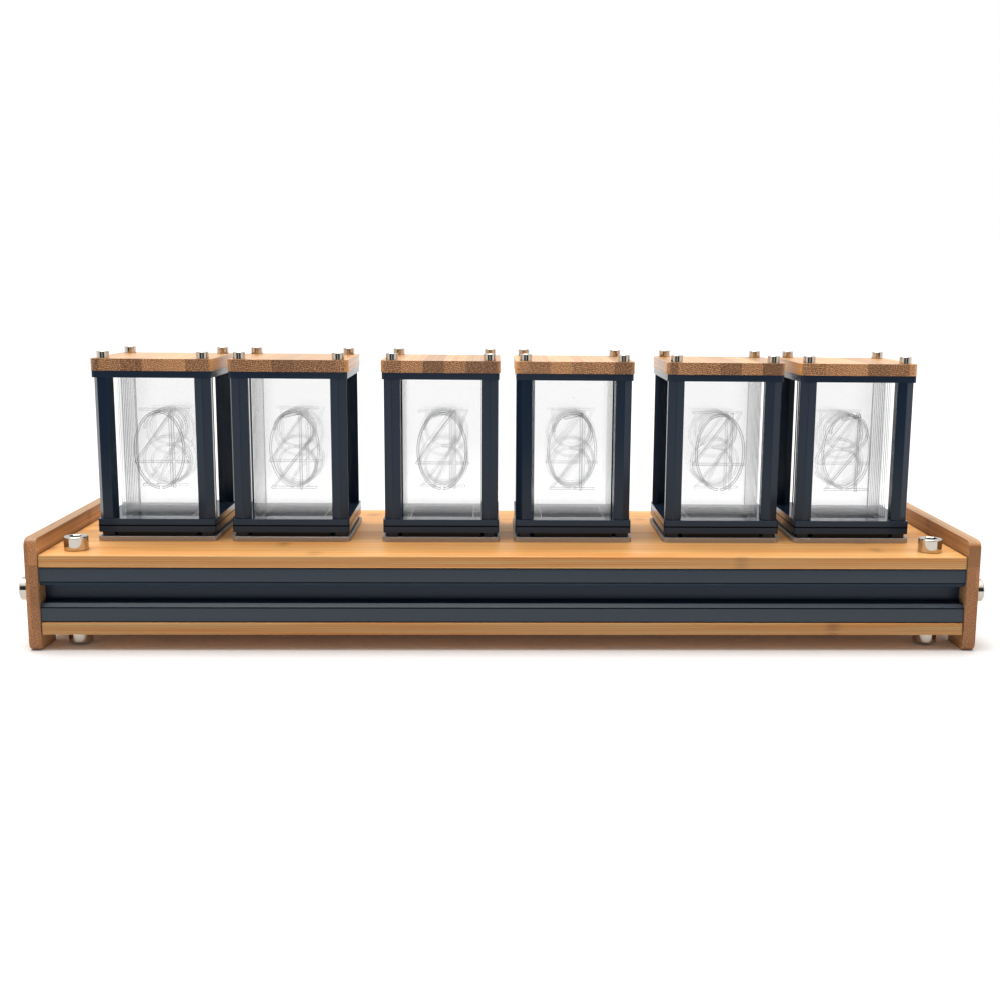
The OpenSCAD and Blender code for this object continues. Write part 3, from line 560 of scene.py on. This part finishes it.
# Rings of a socket head screw, from its tip to the bottom of its key socket.
# Each has a radius and a height above the head's seat, as shares of the screw's sizes.
RINGS = (
    ({}, {"Length": -1}),
    ({"Thread": 0.4}, {"Length": -1}),
    ({"Thread": 0.5}, {"Length": -1, "Thread": 0.1}),
    ({"Thread": 0.5}, {}),
    ({"Head diameter": 0.5, "Edge": -0.5}, {}),
    ({"Head diameter": 0.5}, {"Edge": 0.5}),
    ({"Head diameter": 0.5}, {"Edge": 0.6}),
    ({"Head diameter": 0.5}, {"Head height": 1, "Edge": -1.1}),
    ({"Head diameter": 0.5}, {"Head height": 1, "Edge": -1}),
    ({"Head diameter": 0.5, "Edge": -0.13}, {"Head height": 1, "Edge": -0.5}),
    ({"Head diameter": 0.5, "Edge": -0.5}, {"Head height": 1, "Edge": -0.13}),
    ({"Head diameter": 0.5, "Edge": -1}, {"Head height": 1}),
    ({"Key": 0.5, "Edge": 0.5}, {"Head height": 1}),
    ({"Key": 0.5}, {"Head height": 1, "Edge": -0.5}),
    ({"Key": 0.5}, {"Head height": 0.5}),
    ({}, {"Head height": 0.5, "Key": -0.15}),
)
# First and last ring of the key socket's six flats
KEY_RINGS = (12, 14)
SCREW_SIDES = 48
SCREW_CREASE = math.radians(35)


def screw_tree():
    """Geometry nodes that turn points into socket head screws, each spun by chance about its own axis."""
    tree = bpy.data.node_groups.new("Socket head screws", "GeometryNodeTree")
    tree.interface.new_socket("Places", in_out="INPUT", socket_type="NodeSocketGeometry")
    for name in (*SCREW_SIZES, "Length"):
        tree.interface.new_socket(name, in_out="INPUT", socket_type="NodeSocketFloat")
    tree.interface.new_socket("Sides", in_out="INPUT", socket_type="NodeSocketInt")
    tree.interface.new_socket("Seed", in_out="INPUT", socket_type="NodeSocketInt")
    tree.interface.new_socket("Finish", in_out="INPUT", socket_type="NodeSocketMaterial")
    tree.interface.new_socket("Screws", in_out="OUTPUT", socket_type="NodeSocketGeometry")
    given = add(tree, "NodeGroupInput").outputs

    # a grid with one column for each side and one row for each ring
    columns = add(tree, "ShaderNodeMath", {0: given["Sides"], 1: 1.0}, operation="ADD").outputs[0]
    grid = add(tree, "GeometryNodeMeshGrid", {"Vertices X": columns, "Vertices Y": len(RINGS)})
    index = add(tree, "GeometryNodeInputIndex").outputs[0]
    row = add(tree, "ShaderNodeMath", {0: index, 1: len(RINGS)}, operation="MODULO").outputs[0]
    column = add(tree, "ShaderNodeMath", {0: index, 1: len(RINGS)}, operation="DIVIDE").outputs[0]
    column = add(tree, "ShaderNodeMath", {0: column}, operation="FLOOR").outputs[0]
    angle = add(tree, "ShaderNodeMath", {0: column, 1: given["Sides"]}, operation="DIVIDE").outputs[0]
    angle = add(tree, "ShaderNodeMath", {0: angle, 1: math.tau}, operation="MULTIPLY").outputs[0]

    # radius and height of each vertex's ring
    measures = []
    for which in (0, 1):
        pick = add(tree, "GeometryNodeIndexSwitch", {"Index": row}, data_type="FLOAT")
        while len(pick.index_switch_items) < len(RINGS):
            pick.index_switch_items.new()
        for ring, terms in enumerate(RINGS):
            total = 0.0
            for name, part in terms[which].items():
                total = add(tree, "ShaderNodeMath", {0: given[name], 1: part, 2: total},
                            operation="MULTIPLY_ADD").outputs[0]
            if isinstance(total, bpy.types.NodeSocket):
                tree.links.new(total, pick.inputs[str(ring)])
            else:
                pick.inputs[str(ring)].default_value = total
        measures.append(pick.outputs[0])
    radius, height = measures

    # the key socket has six flats
    half_flat = math.pi / 6
    turn = add(tree, "ShaderNodeMath", {0: angle, 1: half_flat, 2: -half_flat},
               operation="WRAP").outputs[0]
    reach = add(tree, "ShaderNodeMath", {0: turn}, operation="COSINE").outputs[0]
    reach = add(tree, "ShaderNodeMath", {0: radius, 1: reach}, operation="DIVIDE").outputs[0]
    middle = sum(KEY_RINGS) / 2
    keyed = add(tree, "ShaderNodeMath", {0: row, 1: middle, 2: KEY_RINGS[1] - middle + 0.1},
                operation="COMPARE").outputs[0]
    radius = add(tree, "ShaderNodeMix", {0: keyed, 2: radius, 3: reach}).outputs[0]

    # each vertex goes to its place on its ring, and the edges that bend much stay sharp
    x = add(tree, "ShaderNodeMath", {0: angle}, operation="COSINE").outputs[0]
    y = add(tree, "ShaderNodeMath", {0: angle}, operation="SINE").outputs[0]
    x = add(tree, "ShaderNodeMath", {0: x, 1: radius}, operation="MULTIPLY").outputs[0]
    y = add(tree, "ShaderNodeMath", {0: y, 1: radius}, operation="MULTIPLY").outputs[0]
    spot = add(tree, "ShaderNodeCombineXYZ", {0: x, 1: y, 2: height}).outputs[0]
    body = add(tree, "GeometryNodeSetPosition", {"Geometry": grid.outputs[0], "Position": spot}).outputs[0]
    body = add(tree, "GeometryNodeMergeByDistance", {"Geometry": body, "Distance": WELD}).outputs[0]
    bend = add(tree, "GeometryNodeInputMeshEdgeAngle").outputs[0]
    crease = add(tree, "ShaderNodeMath", {0: bend, 1: SCREW_CREASE}, operation="GREATER_THAN").outputs[0]
    body = add(tree, "GeometryNodeSetShadeSmooth", {"Geometry": body, "Shade Smooth": True}).outputs[0]
    body = add(tree, "GeometryNodeSetShadeSmooth",
               {"Geometry": body, "Selection": crease, "Shade Smooth": False}, domain="EDGE").outputs[0]

    # one screw at each point, turned to its head's direction
    facing = add(tree, "GeometryNodeInputNamedAttribute", {"Name": "turn"}, data_type="FLOAT_VECTOR")
    facing = add(tree, "FunctionNodeEulerToRotation", {0: facing.outputs[0]}).outputs[0]
    spin = add(tree, "FunctionNodeRandomValue", {2: 0.0, 3: 2 * half_flat, "Seed": given["Seed"]},
               data_type="FLOAT")
    spin = add(tree, "ShaderNodeCombineXYZ", {2: spin.outputs[1]}).outputs[0]
    spin = add(tree, "FunctionNodeEulerToRotation", {0: spin}).outputs[0]
    facing = add(tree, "FunctionNodeRotateRotation", {0: facing, 1: spin}, rotation_space="LOCAL").outputs[0]
    placed = add(tree, "GeometryNodeInstanceOnPoints",
                 {"Points": given["Places"], "Instance": body, "Rotation": facing}).outputs[0]
    placed = add(tree, "GeometryNodeRealizeInstances", {0: placed}).outputs[0]
    placed = add(tree, "GeometryNodeSetMaterial", {"Geometry": placed, "Material": given["Finish"]})
    add(tree, "NodeGroupOutput", {0: placed.outputs[0]})
    return tree


# Turn of a screw whose head looks this way
HEAD_TURNS = {
    "+Z": (0, 0, 0),
    "-Z": (math.pi, 0, 0),
    "+X": (0, math.pi / 2, 0),
    "-X": (0, -math.pi / 2, 0),
}


def screws(node, tree, finish, sizes, facing, seed):
    """Screws in place of a CAD node's: facing gives the direction of a screw's head from its middle."""
    places, turns = [], []
    for low, high in solid_boxes(node):
        seat = (low + high) / 2
        way = facing(seat)
        axis = AXES.index(way[1])
        if way[0] == "+":
            seat[axis] = high[axis] - sizes["Head height"]
        else:
            seat[axis] = low[axis] + sizes["Head height"]
        places.append(seat)
        turns.append(HEAD_TURNS[way])
    spots = bpy.data.meshes.new(node + "_made")
    spots.from_pydata(places, [], [])
    layer = spots.attributes.new("turn", "FLOAT_VECTOR", "POINT")
    for i, turn in enumerate(turns):
        layer.data[i].vector = turn
    holder = bpy.data.objects.new(node + "_places", spots)
    bpy.context.scene.collection.objects.link(holder)
    maker = holder.modifiers.new("Screws", "NODES")
    maker.node_group = tree
    values = dict(sizes, Sides=SCREW_SIDES, Seed=seed, Finish=finish)
    for socket in tree.interface.items_tree:
        if socket.name in values:
            maker[socket.identifier] = values[socket.name]
    made = bpy.data.meshes.new_from_object(holder.evaluated_get(bpy.context.evaluated_depsgraph_get()))
    bpy.data.objects.remove(holder)
    made.name = node + "_made"
    made.materials.clear()
    return piece(node + "_made", made, [finish], [node])


# Brightness of the room from its front at 0 to its back at 1, as polished pieces show it:
# a dark front with a bright gap in its middle, white walls at both sides and a light grey back
ROOM = ((0.0, 0.5), (0.004, 0.45), (0.012, 0.04), (0.09, 0.05), (0.16, 1.0), (0.86, 1.0), (0.95, 0.85))


def studio(tree, way):
    """Brightness of the room in a direction, which is -1 to the front and 1 to the back."""
    level = add(tree, "ShaderNodeMapRange", {0: way, 1: -1.0, 2: 1.0}).outputs[0]
    ramp = add(tree, "ShaderNodeValToRGB", {0: level})
    stops = ramp.color_ramp.elements
    while len(stops) < len(ROOM):
        stops.new(1.0)
    for stop, (place, value) in zip(stops, ROOM):
        stop.position = place
        stop.color = opaque((value, value, value))
    return ramp.outputs[0]


class CLOCK_OT_stage(bpy.types.Operator):
    """Sets up the paper floor, the studio light and the camera"""
    bl_idname = "clock.stage"
    bl_label = "Stage"

    def execute(self, context):
        scene = context.scene
        stage = scene.clock_stage
        scene.view_settings.view_transform = "Standard"

        # ten clear sheets stand behind each other, and light crosses all their faces
        scene.cycles.max_bounces = 48
        scene.cycles.transmission_bounces = 48
        scene.cycles.glossy_bounces = 12
        scene.cycles.transparent_max_bounces = 48

        self.make_light(scene, stage)
        self.make_floor(scene, stage)
        self.make_camera(scene, stage)
        return {"FINISHED"}

    def make_light(self, scene, stage):
        """White studio that lights the clock from above and behind, with a soft key light."""
        world = bpy.data.worlds.new("White studio")
        world.use_nodes = True
        scene.world = world
        tree = world.node_tree
        tree.nodes.clear()
        path = add(tree, "ShaderNodeLightPath").outputs
        way = add(tree, "ShaderNodeTexCoord").outputs["Generated"]
        way = add(tree, "ShaderNodeSeparateXYZ", {0: way}).outputs

        # the fill light fades towards the horizon and towards the front
        above = add(tree, "ShaderNodeMapRange", {0: way["Z"], 1: 0.0, 2: 0.75, 3: 0.1, 4: 1.0}).outputs[0]
        back = add(tree, "ShaderNodeMapRange", {0: way["Y"], 1: -0.9, 2: 0.0, 3: 0.2, 4: 1.0}).outputs[0]
        fill = add(tree, "ShaderNodeMath", {0: above, 1: back}, operation="MULTIPLY").outputs[0]
        fill = add(tree, "ShaderNodeMath", {0: fill, 1: stage.fill}, operation="MULTIPLY").outputs[0]

        # polished pieces show the room and its bright roof, and the camera sees white
        roof = add(tree, "ShaderNodeMapRange", {0: way["Z"], 1: 0.6, 2: 0.9, 3: 0.0, 4: 1.0}).outputs[0]
        shown = add(tree, "ShaderNodeMath", {0: studio(tree, way["Y"]), 1: roof}, operation="ADD").outputs[0]
        light = add(tree, "ShaderNodeMix", {0: path["Is Glossy Ray"], 2: fill, 3: shown}).outputs[0]
        seen = add(tree, "ShaderNodeMath", {0: path["Is Camera Ray"], 1: path["Is Transmission Ray"]},
                   operation="MAXIMUM").outputs[0]
        light = add(tree, "ShaderNodeMix", {0: seen, 2: light, 3: 1.0}).outputs[0]
        sky = add(tree, "ShaderNodeBackground", {"Color": WHITE, "Strength": light}).outputs[0]
        add(tree, "ShaderNodeOutputWorld", {"Surface": sky})

        key = bpy.data.objects.new("key_light", bpy.data.lights.new("key_light", "SUN"))
        key.data.energy = stage.key
        key.data.angle = stage.key_angle
        key.rotation_euler = stage.key_turn
        scene.collection.objects.link(key)

    def make_floor(self, scene, stage):
        """Floor of matt white paper."""
        mesh = bpy.data.meshes.new("floor")
        corners = ((-1, -1), (1, -1), (1, 1), (-1, 1))
        mesh.from_pydata([(x * stage.reach, y * stage.reach, 0.0) for x, y in corners], [], [(0, 1, 2, 3)])
        mesh.materials.append(self.paper(stage))
        floor = bpy.data.objects.new("floor", mesh)
        scene.collection.objects.link(floor)

    def paper(self, stage):
        """Paper, matt and white: no gloss, so that it shows nothing but the clock's shadow."""
        # places along Y: the paper's end in front of the clock, and the haze's start and end behind it
        paper_end = (-380 * MM, -430 * MM)
        haze_reach = (300 * MM, 600 * MM)
        material, tree, shader, place = new_material("paper_matt_white")
        shader.inputs["Base Color"].default_value = opaque(stage.floor)
        shader.inputs["Roughness"].default_value = 1.0
        shader.inputs["Specular IOR Level"].default_value = 0.0

        # where it is seen, in a reflection or through a sheet too, it is lifted a little towards white
        path = add(tree, "ShaderNodeLightPath").outputs
        seen = add(tree, "ShaderNodeMath", {0: path["Is Camera Ray"], 1: path["Is Glossy Ray"]},
                   operation="MAXIMUM").outputs[0]
        seen = add(tree, "ShaderNodeMath", {0: seen, 1: path["Is Transmission Ray"]},
                   operation="MAXIMUM").outputs[0]
        lift = add(tree, "ShaderNodeMath", {0: seen, 1: stage.lift}, operation="MULTIPLY").outputs[0]
        shader.inputs["Emission Color"].default_value = WHITE
        tree.links.new(lift, shader.inputs["Emission Strength"])

        # polished pieces show the room where the paper ends, in front of the clock
        behind = add(tree, "ShaderNodeSeparateXYZ", {0: place.outputs["Object"]}).outputs["Y"]
        far = add(tree, "ShaderNodeMapRange", {0: behind, 1: paper_end[0], 2: paper_end[1]}).outputs[0]
        mirrored = add(tree, "ShaderNodeMath", {0: path["Is Glossy Ray"], 1: path["Is Transmission Ray"]},
                       operation="SUBTRACT").outputs[0]
        far = add(tree, "ShaderNodeMath", {0: far, 1: mirrored}, operation="MULTIPLY",
                  use_clamp=True).outputs[0]
        way = add(tree, "ShaderNodeVectorMath", {0: place.outputs["Object"]}, operation="NORMALIZE")
        way = add(tree, "ShaderNodeSeparateXYZ", {0: way.outputs[0]}).outputs["Y"]
        shown = add(tree, "ShaderNodeEmission", {"Color": WHITE, "Strength": studio(tree, way)}).outputs[0]
        surface = add(tree, "ShaderNodeMixShader", {0: far, 1: shader.outputs[0], 2: shown}).outputs[0]

        # through the clear sheets the floor turns light grey with its distance
        haze = add(tree, "ShaderNodeMapRange",
                   {0: behind, 1: haze_reach[0], 2: haze_reach[1], 3: 1.1, 4: stage.haze})
        hazy = add(tree, "ShaderNodeEmission", {"Color": WHITE, "Strength": haze.outputs[0]}).outputs[0]
        surface = add(tree, "ShaderNodeMixShader", {0: path["Is Transmission Ray"], 1: surface, 2: hazy})
        tree.links.new(surface.outputs[0], tree.get_output_node("ALL").inputs["Surface"])
        return material

    def make_camera(self, scene, stage):
        """Camera that looks ahead by its yaw and pitch, and is rolled about that line."""
        yaw, pitch, roll = stage.turn
        ahead = Vector((math.sin(yaw) * math.cos(pitch), math.cos(yaw) * math.cos(pitch), math.sin(pitch)))
        right = Vector((math.cos(yaw), -math.sin(yaw), 0))
        down = ahead.cross(right)
        side = right * math.cos(roll) + down * math.sin(roll)
        fall = down * math.cos(roll) - right * math.sin(roll)
        camera = bpy.data.objects.new("camera", bpy.data.cameras.new("camera"))
        camera.data.sensor_width = 36.0
        camera.data.lens = stage.lens
        camera.data.shift_x, camera.data.shift_y = stage.shift
        turned = Matrix((side, -fall, -ahead)).transposed().to_4x4()
        camera.matrix_world = Matrix.Translation(stage.eye) @ turned
        scene.collection.objects.link(camera)
        scene.camera = camera


class CLOCK_OT_bamboo(bpy.types.Operator):
    """Finishes the bamboo caps, boards and cheeks"""
    bl_idname = "clock.bamboo"
    bl_label = "Bamboo"

    def execute(self, context):
        looks = context.scene.clock_bamboo
        honey = (looks.pale, looks.honey, looks.end)
        brown = (looks.cheek_pale, looks.cheek_honey, looks.cheek_end)
        # waxed: the tops shine nearly white at a flat angle, the flecks at the front are strong, and the left and
        # right sides are brightened as painted light
        caps = bamboo("bamboo_cap_sanded_waxed", "Y", "X", looks, honey,
                      wax=0.55, contrast=1.0, spread=(0.6, 1.04), flank=1.25)
        # oiled: warm and even, with the front and back faces darkened as painted shade
        boards = bamboo("bamboo_board_sanded_oiled", "X", "Y", looks, honey,
                        wax=0.04, contrast=0.5, spread=(0.9, 1.1), flank=0.64)
        # oiled: browner than the boards, with fainter flecks than the caps
        cheeks = bamboo("bamboo_cheek_sanded_oiled", "Y", "Z", looks, brown,
                        wax=0.04, contrast=0.6, spread=(0.76, 1.04), flank=1.0)
        for unit in UNITS:
            eased(f"cap_{unit}", caps, looks.ease)
        for node in ("top_board", "bottom_board"):
            eased(node, boards, looks.board_ease)
        for node in ("left_cheek", "right_cheek"):
            eased(node, cheeks, looks.ease)
        return {"FINISHED"}


class CLOCK_OT_plates(bpy.types.Operator):
    """Finishes the black acrylic plates"""
    bl_idname = "clock.plates"
    bl_label = "Black plates"

    def execute(self, context):
        looks = context.scene.clock_acrylic
        seam = solid_boxes("slot_plate_1")[0][0].z
        # glossy: a deep blue black that shows the room
        top = black_acrylic("cast_acrylic_black", looks.black, looks, seam, gloss=0.25)
        # a little paler and duller, with a painted shade line where a slot plate meets the plate under it
        lower = black_acrylic("cast_acrylic_black_stacked_painted_seam_shade", looks.lower, looks, seam, gloss=0.2)
        for unit in UNITS:
            eased(f"top_plate_{unit}", top, looks.ease)
            eased(f"slot_plate_{unit}", lower, looks.ease)
        eased("mask_plates", lower, looks.ease)
        return {"FINISHED"}


class CLOCK_OT_sheets(bpy.types.Operator):
    """Finishes the clear sheets, with engraved numerals and cut edges"""
    bl_idname = "clock.sheets"
    bl_label = "Digit sheets"

    def execute(self, context):
        looks = context.scene.clock_acrylic
        # polished: clear, with a few specks of dust
        polished = clear_acrylic("cast_acrylic_clear_polished", looks.clear, roughness=0.0, gloss=0.02,
                                 specks=(looks.dust, looks.sheet_dust))
        # laser-cut: upright ribs that show as thin bright and dark lines
        cut = clear_acrylic("cast_acrylic_clear_laser_cut", looks.clear, roughness=0.05, gloss=0.5,
                            ribs=(0.3, 0.3, 12))
        # engraved: clear lines with grey rims, which are fainter on the rear sheets
        etched = clear_acrylic("cast_acrylic_clear_engraved", looks.etched, looks.etched_roughness,
                               gloss=0.05)
        rim = clear_acrylic("cast_acrylic_clear_engraved_rim", looks.rim_tint, looks.etched_roughness,
                            gloss=0.05, rear=(looks.rim_rear, looks.stack))
        for unit in UNITS:
            self.finish_sheets(f"digit_sheets_{unit}", [polished, cut, etched, rim], looks)
        return {"FINISHED"}

    def finish_sheets(self, node, materials, looks):
        """One unit's sheets: each face gets the finish of its place, and each stroke gets rims."""
        polished, cut, etched, rim = range(len(materials))
        boxes = solid_boxes(node)
        low, high = boxes[0]
        middle = (low + high) / 2
        fronts = [y for box in boxes for y in (box[0].y, box[1].y)]
        half_width, half_height = looks.numeral
        source = welded(node)
        for face in source.faces:
            centre = face.calc_center_median()
            outside = abs(centre.x - middle.x) > half_width or abs(centre.z - middle.z) > half_height
            frontal = abs(face.normal.y) > FACING
            if frontal and min(abs(centre.y - y) for y in fronts) < TOUCH:
                face.material_index = polished
            elif outside:
                face.material_index = cut
            elif frontal:
                face.material_index = etched
            else:
                face.material_index = rim
        floors = [face for face in source.faces if face.material_index == etched]
        rims = bmesh.ops.inset_region(
            source, faces=floors, thickness=looks.rim, use_even_offset=False, use_boundary=True)
        for face in rims["faces"]:
            face.material_index = rim
        mesh = plain_mesh(source, node + "_finished")
        piece(node + "_finished", mesh, materials, [node])


class CLOCK_OT_posts(bpy.types.Operator):
    """Finishes the hexagonal posts, the corner spacers and the foot plates"""
    bl_idname = "clock.posts"
    bl_label = "Posts and foot plates"

    def execute(self, context):
        looks = context.scene.clock_metal
        # moulded nylon: a blue black with a soft shine on each flat
        post = fine_grit("nylon_black_moulded", looks.post, roughness=0.18, grit=0.6, metallic=0.0,
                         gloss=0.27)
        eased("posts", post, looks.post_ease)
        dress("corner_spacers", post)
        # satin aluminium: a light grey that takes a little of the bamboo's colour
        foot = fine_grit("aluminium_plate_satin", looks.foot, roughness=0.45, grit=0.25, metallic=0.3)
        for unit in UNITS:
            eased(f"foot_plate_{unit}", foot, looks.post_ease)
        return {"FINISHED"}


class CLOCK_OT_rails(bpy.types.Operator):
    """Finishes the slotted rails"""
    bl_idname = "clock.rails"
    bl_label = "Rails"

    def execute(self, context):
        looks = context.scene.clock_metal
        # anodised: satin black, with a grey shine on the faces
        face = anodised_rail("aluminium_extrusion_black_anodised", looks.rail, looks.scuff, gloss=0.5)
        # painted shade: darker and duller inside the slots
        slot = anodised_rail("aluminium_slot_painted_shade", looks.slot, looks.slot_scuff, gloss=0.3)
        # painted sheen: paler on the slanted flanks beside the slots, with spots that are partly rubbed wear and
        # partly painted glints
        flank = anodised_rail("aluminium_flank_painted_sheen", looks.flank, looks.flank_scuff_and_glint, gloss=0.25,
                              wear=(0.6, 0.9))
        # painted shade: thin dark lines on the drawn edges
        edge = anodised_rail("aluminium_edge_painted_shade", looks.edge, looks.slot_scuff, gloss=0.02)
        for node in ("front_rail", "rear_rail"):
            rail = eased(node, face, looks.rail_ease)
            for finish in (slot, flank, edge):
                rail.data.materials.append(finish)
            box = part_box(node)
            self.ease_edges(rail, box, looks)
            self.finish_faces(rail.data, box, looks)
        return {"FINISHED"}

    def depth(self, point, box):
        """Depth of a point below the nearest long face of a rail's box."""
        low, high = box
        return min(min(point[i] - low[i], high[i] - point[i]) for i in (1, 2))

    def ease_edges(self, rail, box, looks):
        """Gives the long outer edges their full width, and less to those inside, where the lips are thin."""
        bevel = rail.modifiers["Eased edges"]
        # the bevels take the last material, whose dark lines are painted shade
        bevel.material = len(rail.data.materials) - 1
        bevel.use_clamp_overlap = False
        bevel.limit_method = "WEIGHT"
        weights = rail.data.attributes.new("bevel_weight_edge", "FLOAT", "EDGE")
        for edge in rail.data.edges:
            start, end = (rail.data.vertices[i].co for i in edge.vertices)
            deepest = max(self.depth(start, box), self.depth(end, box))
            outer = deepest < looks.lip < abs(start.x - end.x)
            if edge.use_edge_sharp:
                weights.data[edge.index].value = 1.0 if outer else looks.inner_ease

    def finish_faces(self, mesh, box, looks):
        """Gives each face the finish of its depth: outer faces, slanted flanks made paler as painted sheen, and
        the slots' inside made darker as painted shade.
        """
        outer, inside, flank = range(3)
        for face in mesh.polygons:
            depth = self.depth(face.center, box)
            slanted = min(abs(face.normal.y), abs(face.normal.z)) > SLANTED
            if depth <= looks.lip:
                face.material_index = outer
            elif slanted and depth < looks.flank_depth:
                face.material_index = flank
            else:
                # the slots' inside, darkened as painted shade
                face.material_index = inside


class CLOCK_OT_screws(bpy.types.Operator):
    """Makes the socket head screws of the caps, cheeks and boards"""
    bl_idname = "clock.screws"
    bl_label = "Screws"

    def execute(self, context):
        looks = context.scene.clock_metal
        # nickel plate: a warm mirror of the studio and the bamboo
        nickel = fine_grit("steel_nickel_plated", looks.nickel, roughness=0.07, grit=1.5)
        tree = screw_tree()
        rail_middle = sum(corner[2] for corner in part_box("front_rail")) / 2
        groups = (
            ("cap_screws", looks.small_screw, lambda at: "+Z"),
            ("unit_screws", looks.small_screw, lambda at: "-Z"),
            ("board_screws", looks.flat_screw, lambda at: "-Z"),
            ("board_bolts", looks.bolt, lambda at: "+Z" if at.z > rail_middle else "-Z"),
            ("cheek_bolts", looks.bolt, lambda at: "+X" if at.x > 0 else "-X"),
        )
        for seed, (node, kind, facing) in enumerate(groups):
            sizes = dict(zip(SCREW_SIZES, kind))
            low, high = solid_boxes(node)[0]
            sizes["Length"] = max(high - low) - sizes["Head height"]
            screws(node, tree, nickel, sizes, facing, seed)
        for node in ("slot_nuts", "button_cell", "power_socket"):
            dress(node, nickel)
        return {"FINISHED"}


class CLOCK_OT_inside(bpy.types.Operator):
    """Finishes the circuit boards, what they carry and the buttons"""
    bl_idname = "clock.inside"
    bl_label = "Electronics"

    def execute(self, context):
        looks = context.scene.clock_inside
        # black mask: nearly lost in the shade under the units
        light = circuit_board("circuit_board_black_mask", looks.mask, looks.mask_track)
        # green mask: the common look of a board with its tracks
        main = circuit_board("circuit_board_green_mask", looks.board, looks.copper)
        # moulded ABS: a dull black
        plastic = fine_grit("abs_black_moulded", looks.plastic, roughness=0.45, grit=0.4, metallic=0.0)
        for unit in UNITS:
            dress(f"light_board_{unit}", light)
        dress("main_board", main)
        for node in ("board_spacers", "cell_holder", "switches"):
            dress(node, plastic)
        for joint in frame["joints"]:
            body = joint["child"]
            for node in frame["record"]["behaviour"]["bodies"][body]:
                eased(node, plastic, looks.ease, body)
        return {"FINISHED"}


class CLOCK_PT_pieces(bpy.types.Panel):
    """Lists the pieces of the clock"""
    bl_label = "Clock"
    bl_space_type = "VIEW_3D"
    bl_region_type = "UI"
    bl_category = "Clock"

    def draw(self, context):
        for operator in OPERATORS:
            self.layout.operator(operator.bl_idname)
        for name in GROUPS:
            box = self.layout.box()
            group = getattr(context.scene, name)
            for key in group.bl_rna.properties.keys():
                if key not in ("rna_type", "name"):
                    box.prop(group, key)


GROUPS = {
    "clock_bamboo": ClockBamboo,
    "clock_acrylic": ClockAcrylic,
    "clock_metal": ClockMetal,
    "clock_inside": ClockInside,
    "clock_stage": ClockStage,
}
OPERATORS = (
    CLOCK_OT_stage,
    CLOCK_OT_bamboo,
    CLOCK_OT_plates,
    CLOCK_OT_sheets,
    CLOCK_OT_posts,
    CLOCK_OT_rails,
    CLOCK_OT_screws,
    CLOCK_OT_inside,
)


def register():
    for kind in (*GROUPS.values(), *OPERATORS, CLOCK_PT_pieces):
        bpy.utils.register_class(kind)
    for name, kind in GROUPS.items():
        setattr(bpy.types.Scene, name, bpy.props.PointerProperty(type=kind))


def unregister():
    for name in GROUPS:
        delattr(bpy.types.Scene, name)
    for kind in reversed((*GROUPS.values(), *OPERATORS, CLOCK_PT_pieces)):
        bpy.utils.unregister_class(kind)


def main():
    register()
    for operator in OPERATORS:
        group, name = operator.bl_idname.split(".")
        getattr(getattr(bpy.ops, group), name)()
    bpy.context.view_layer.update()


if __name__ == "__main__":
    main()
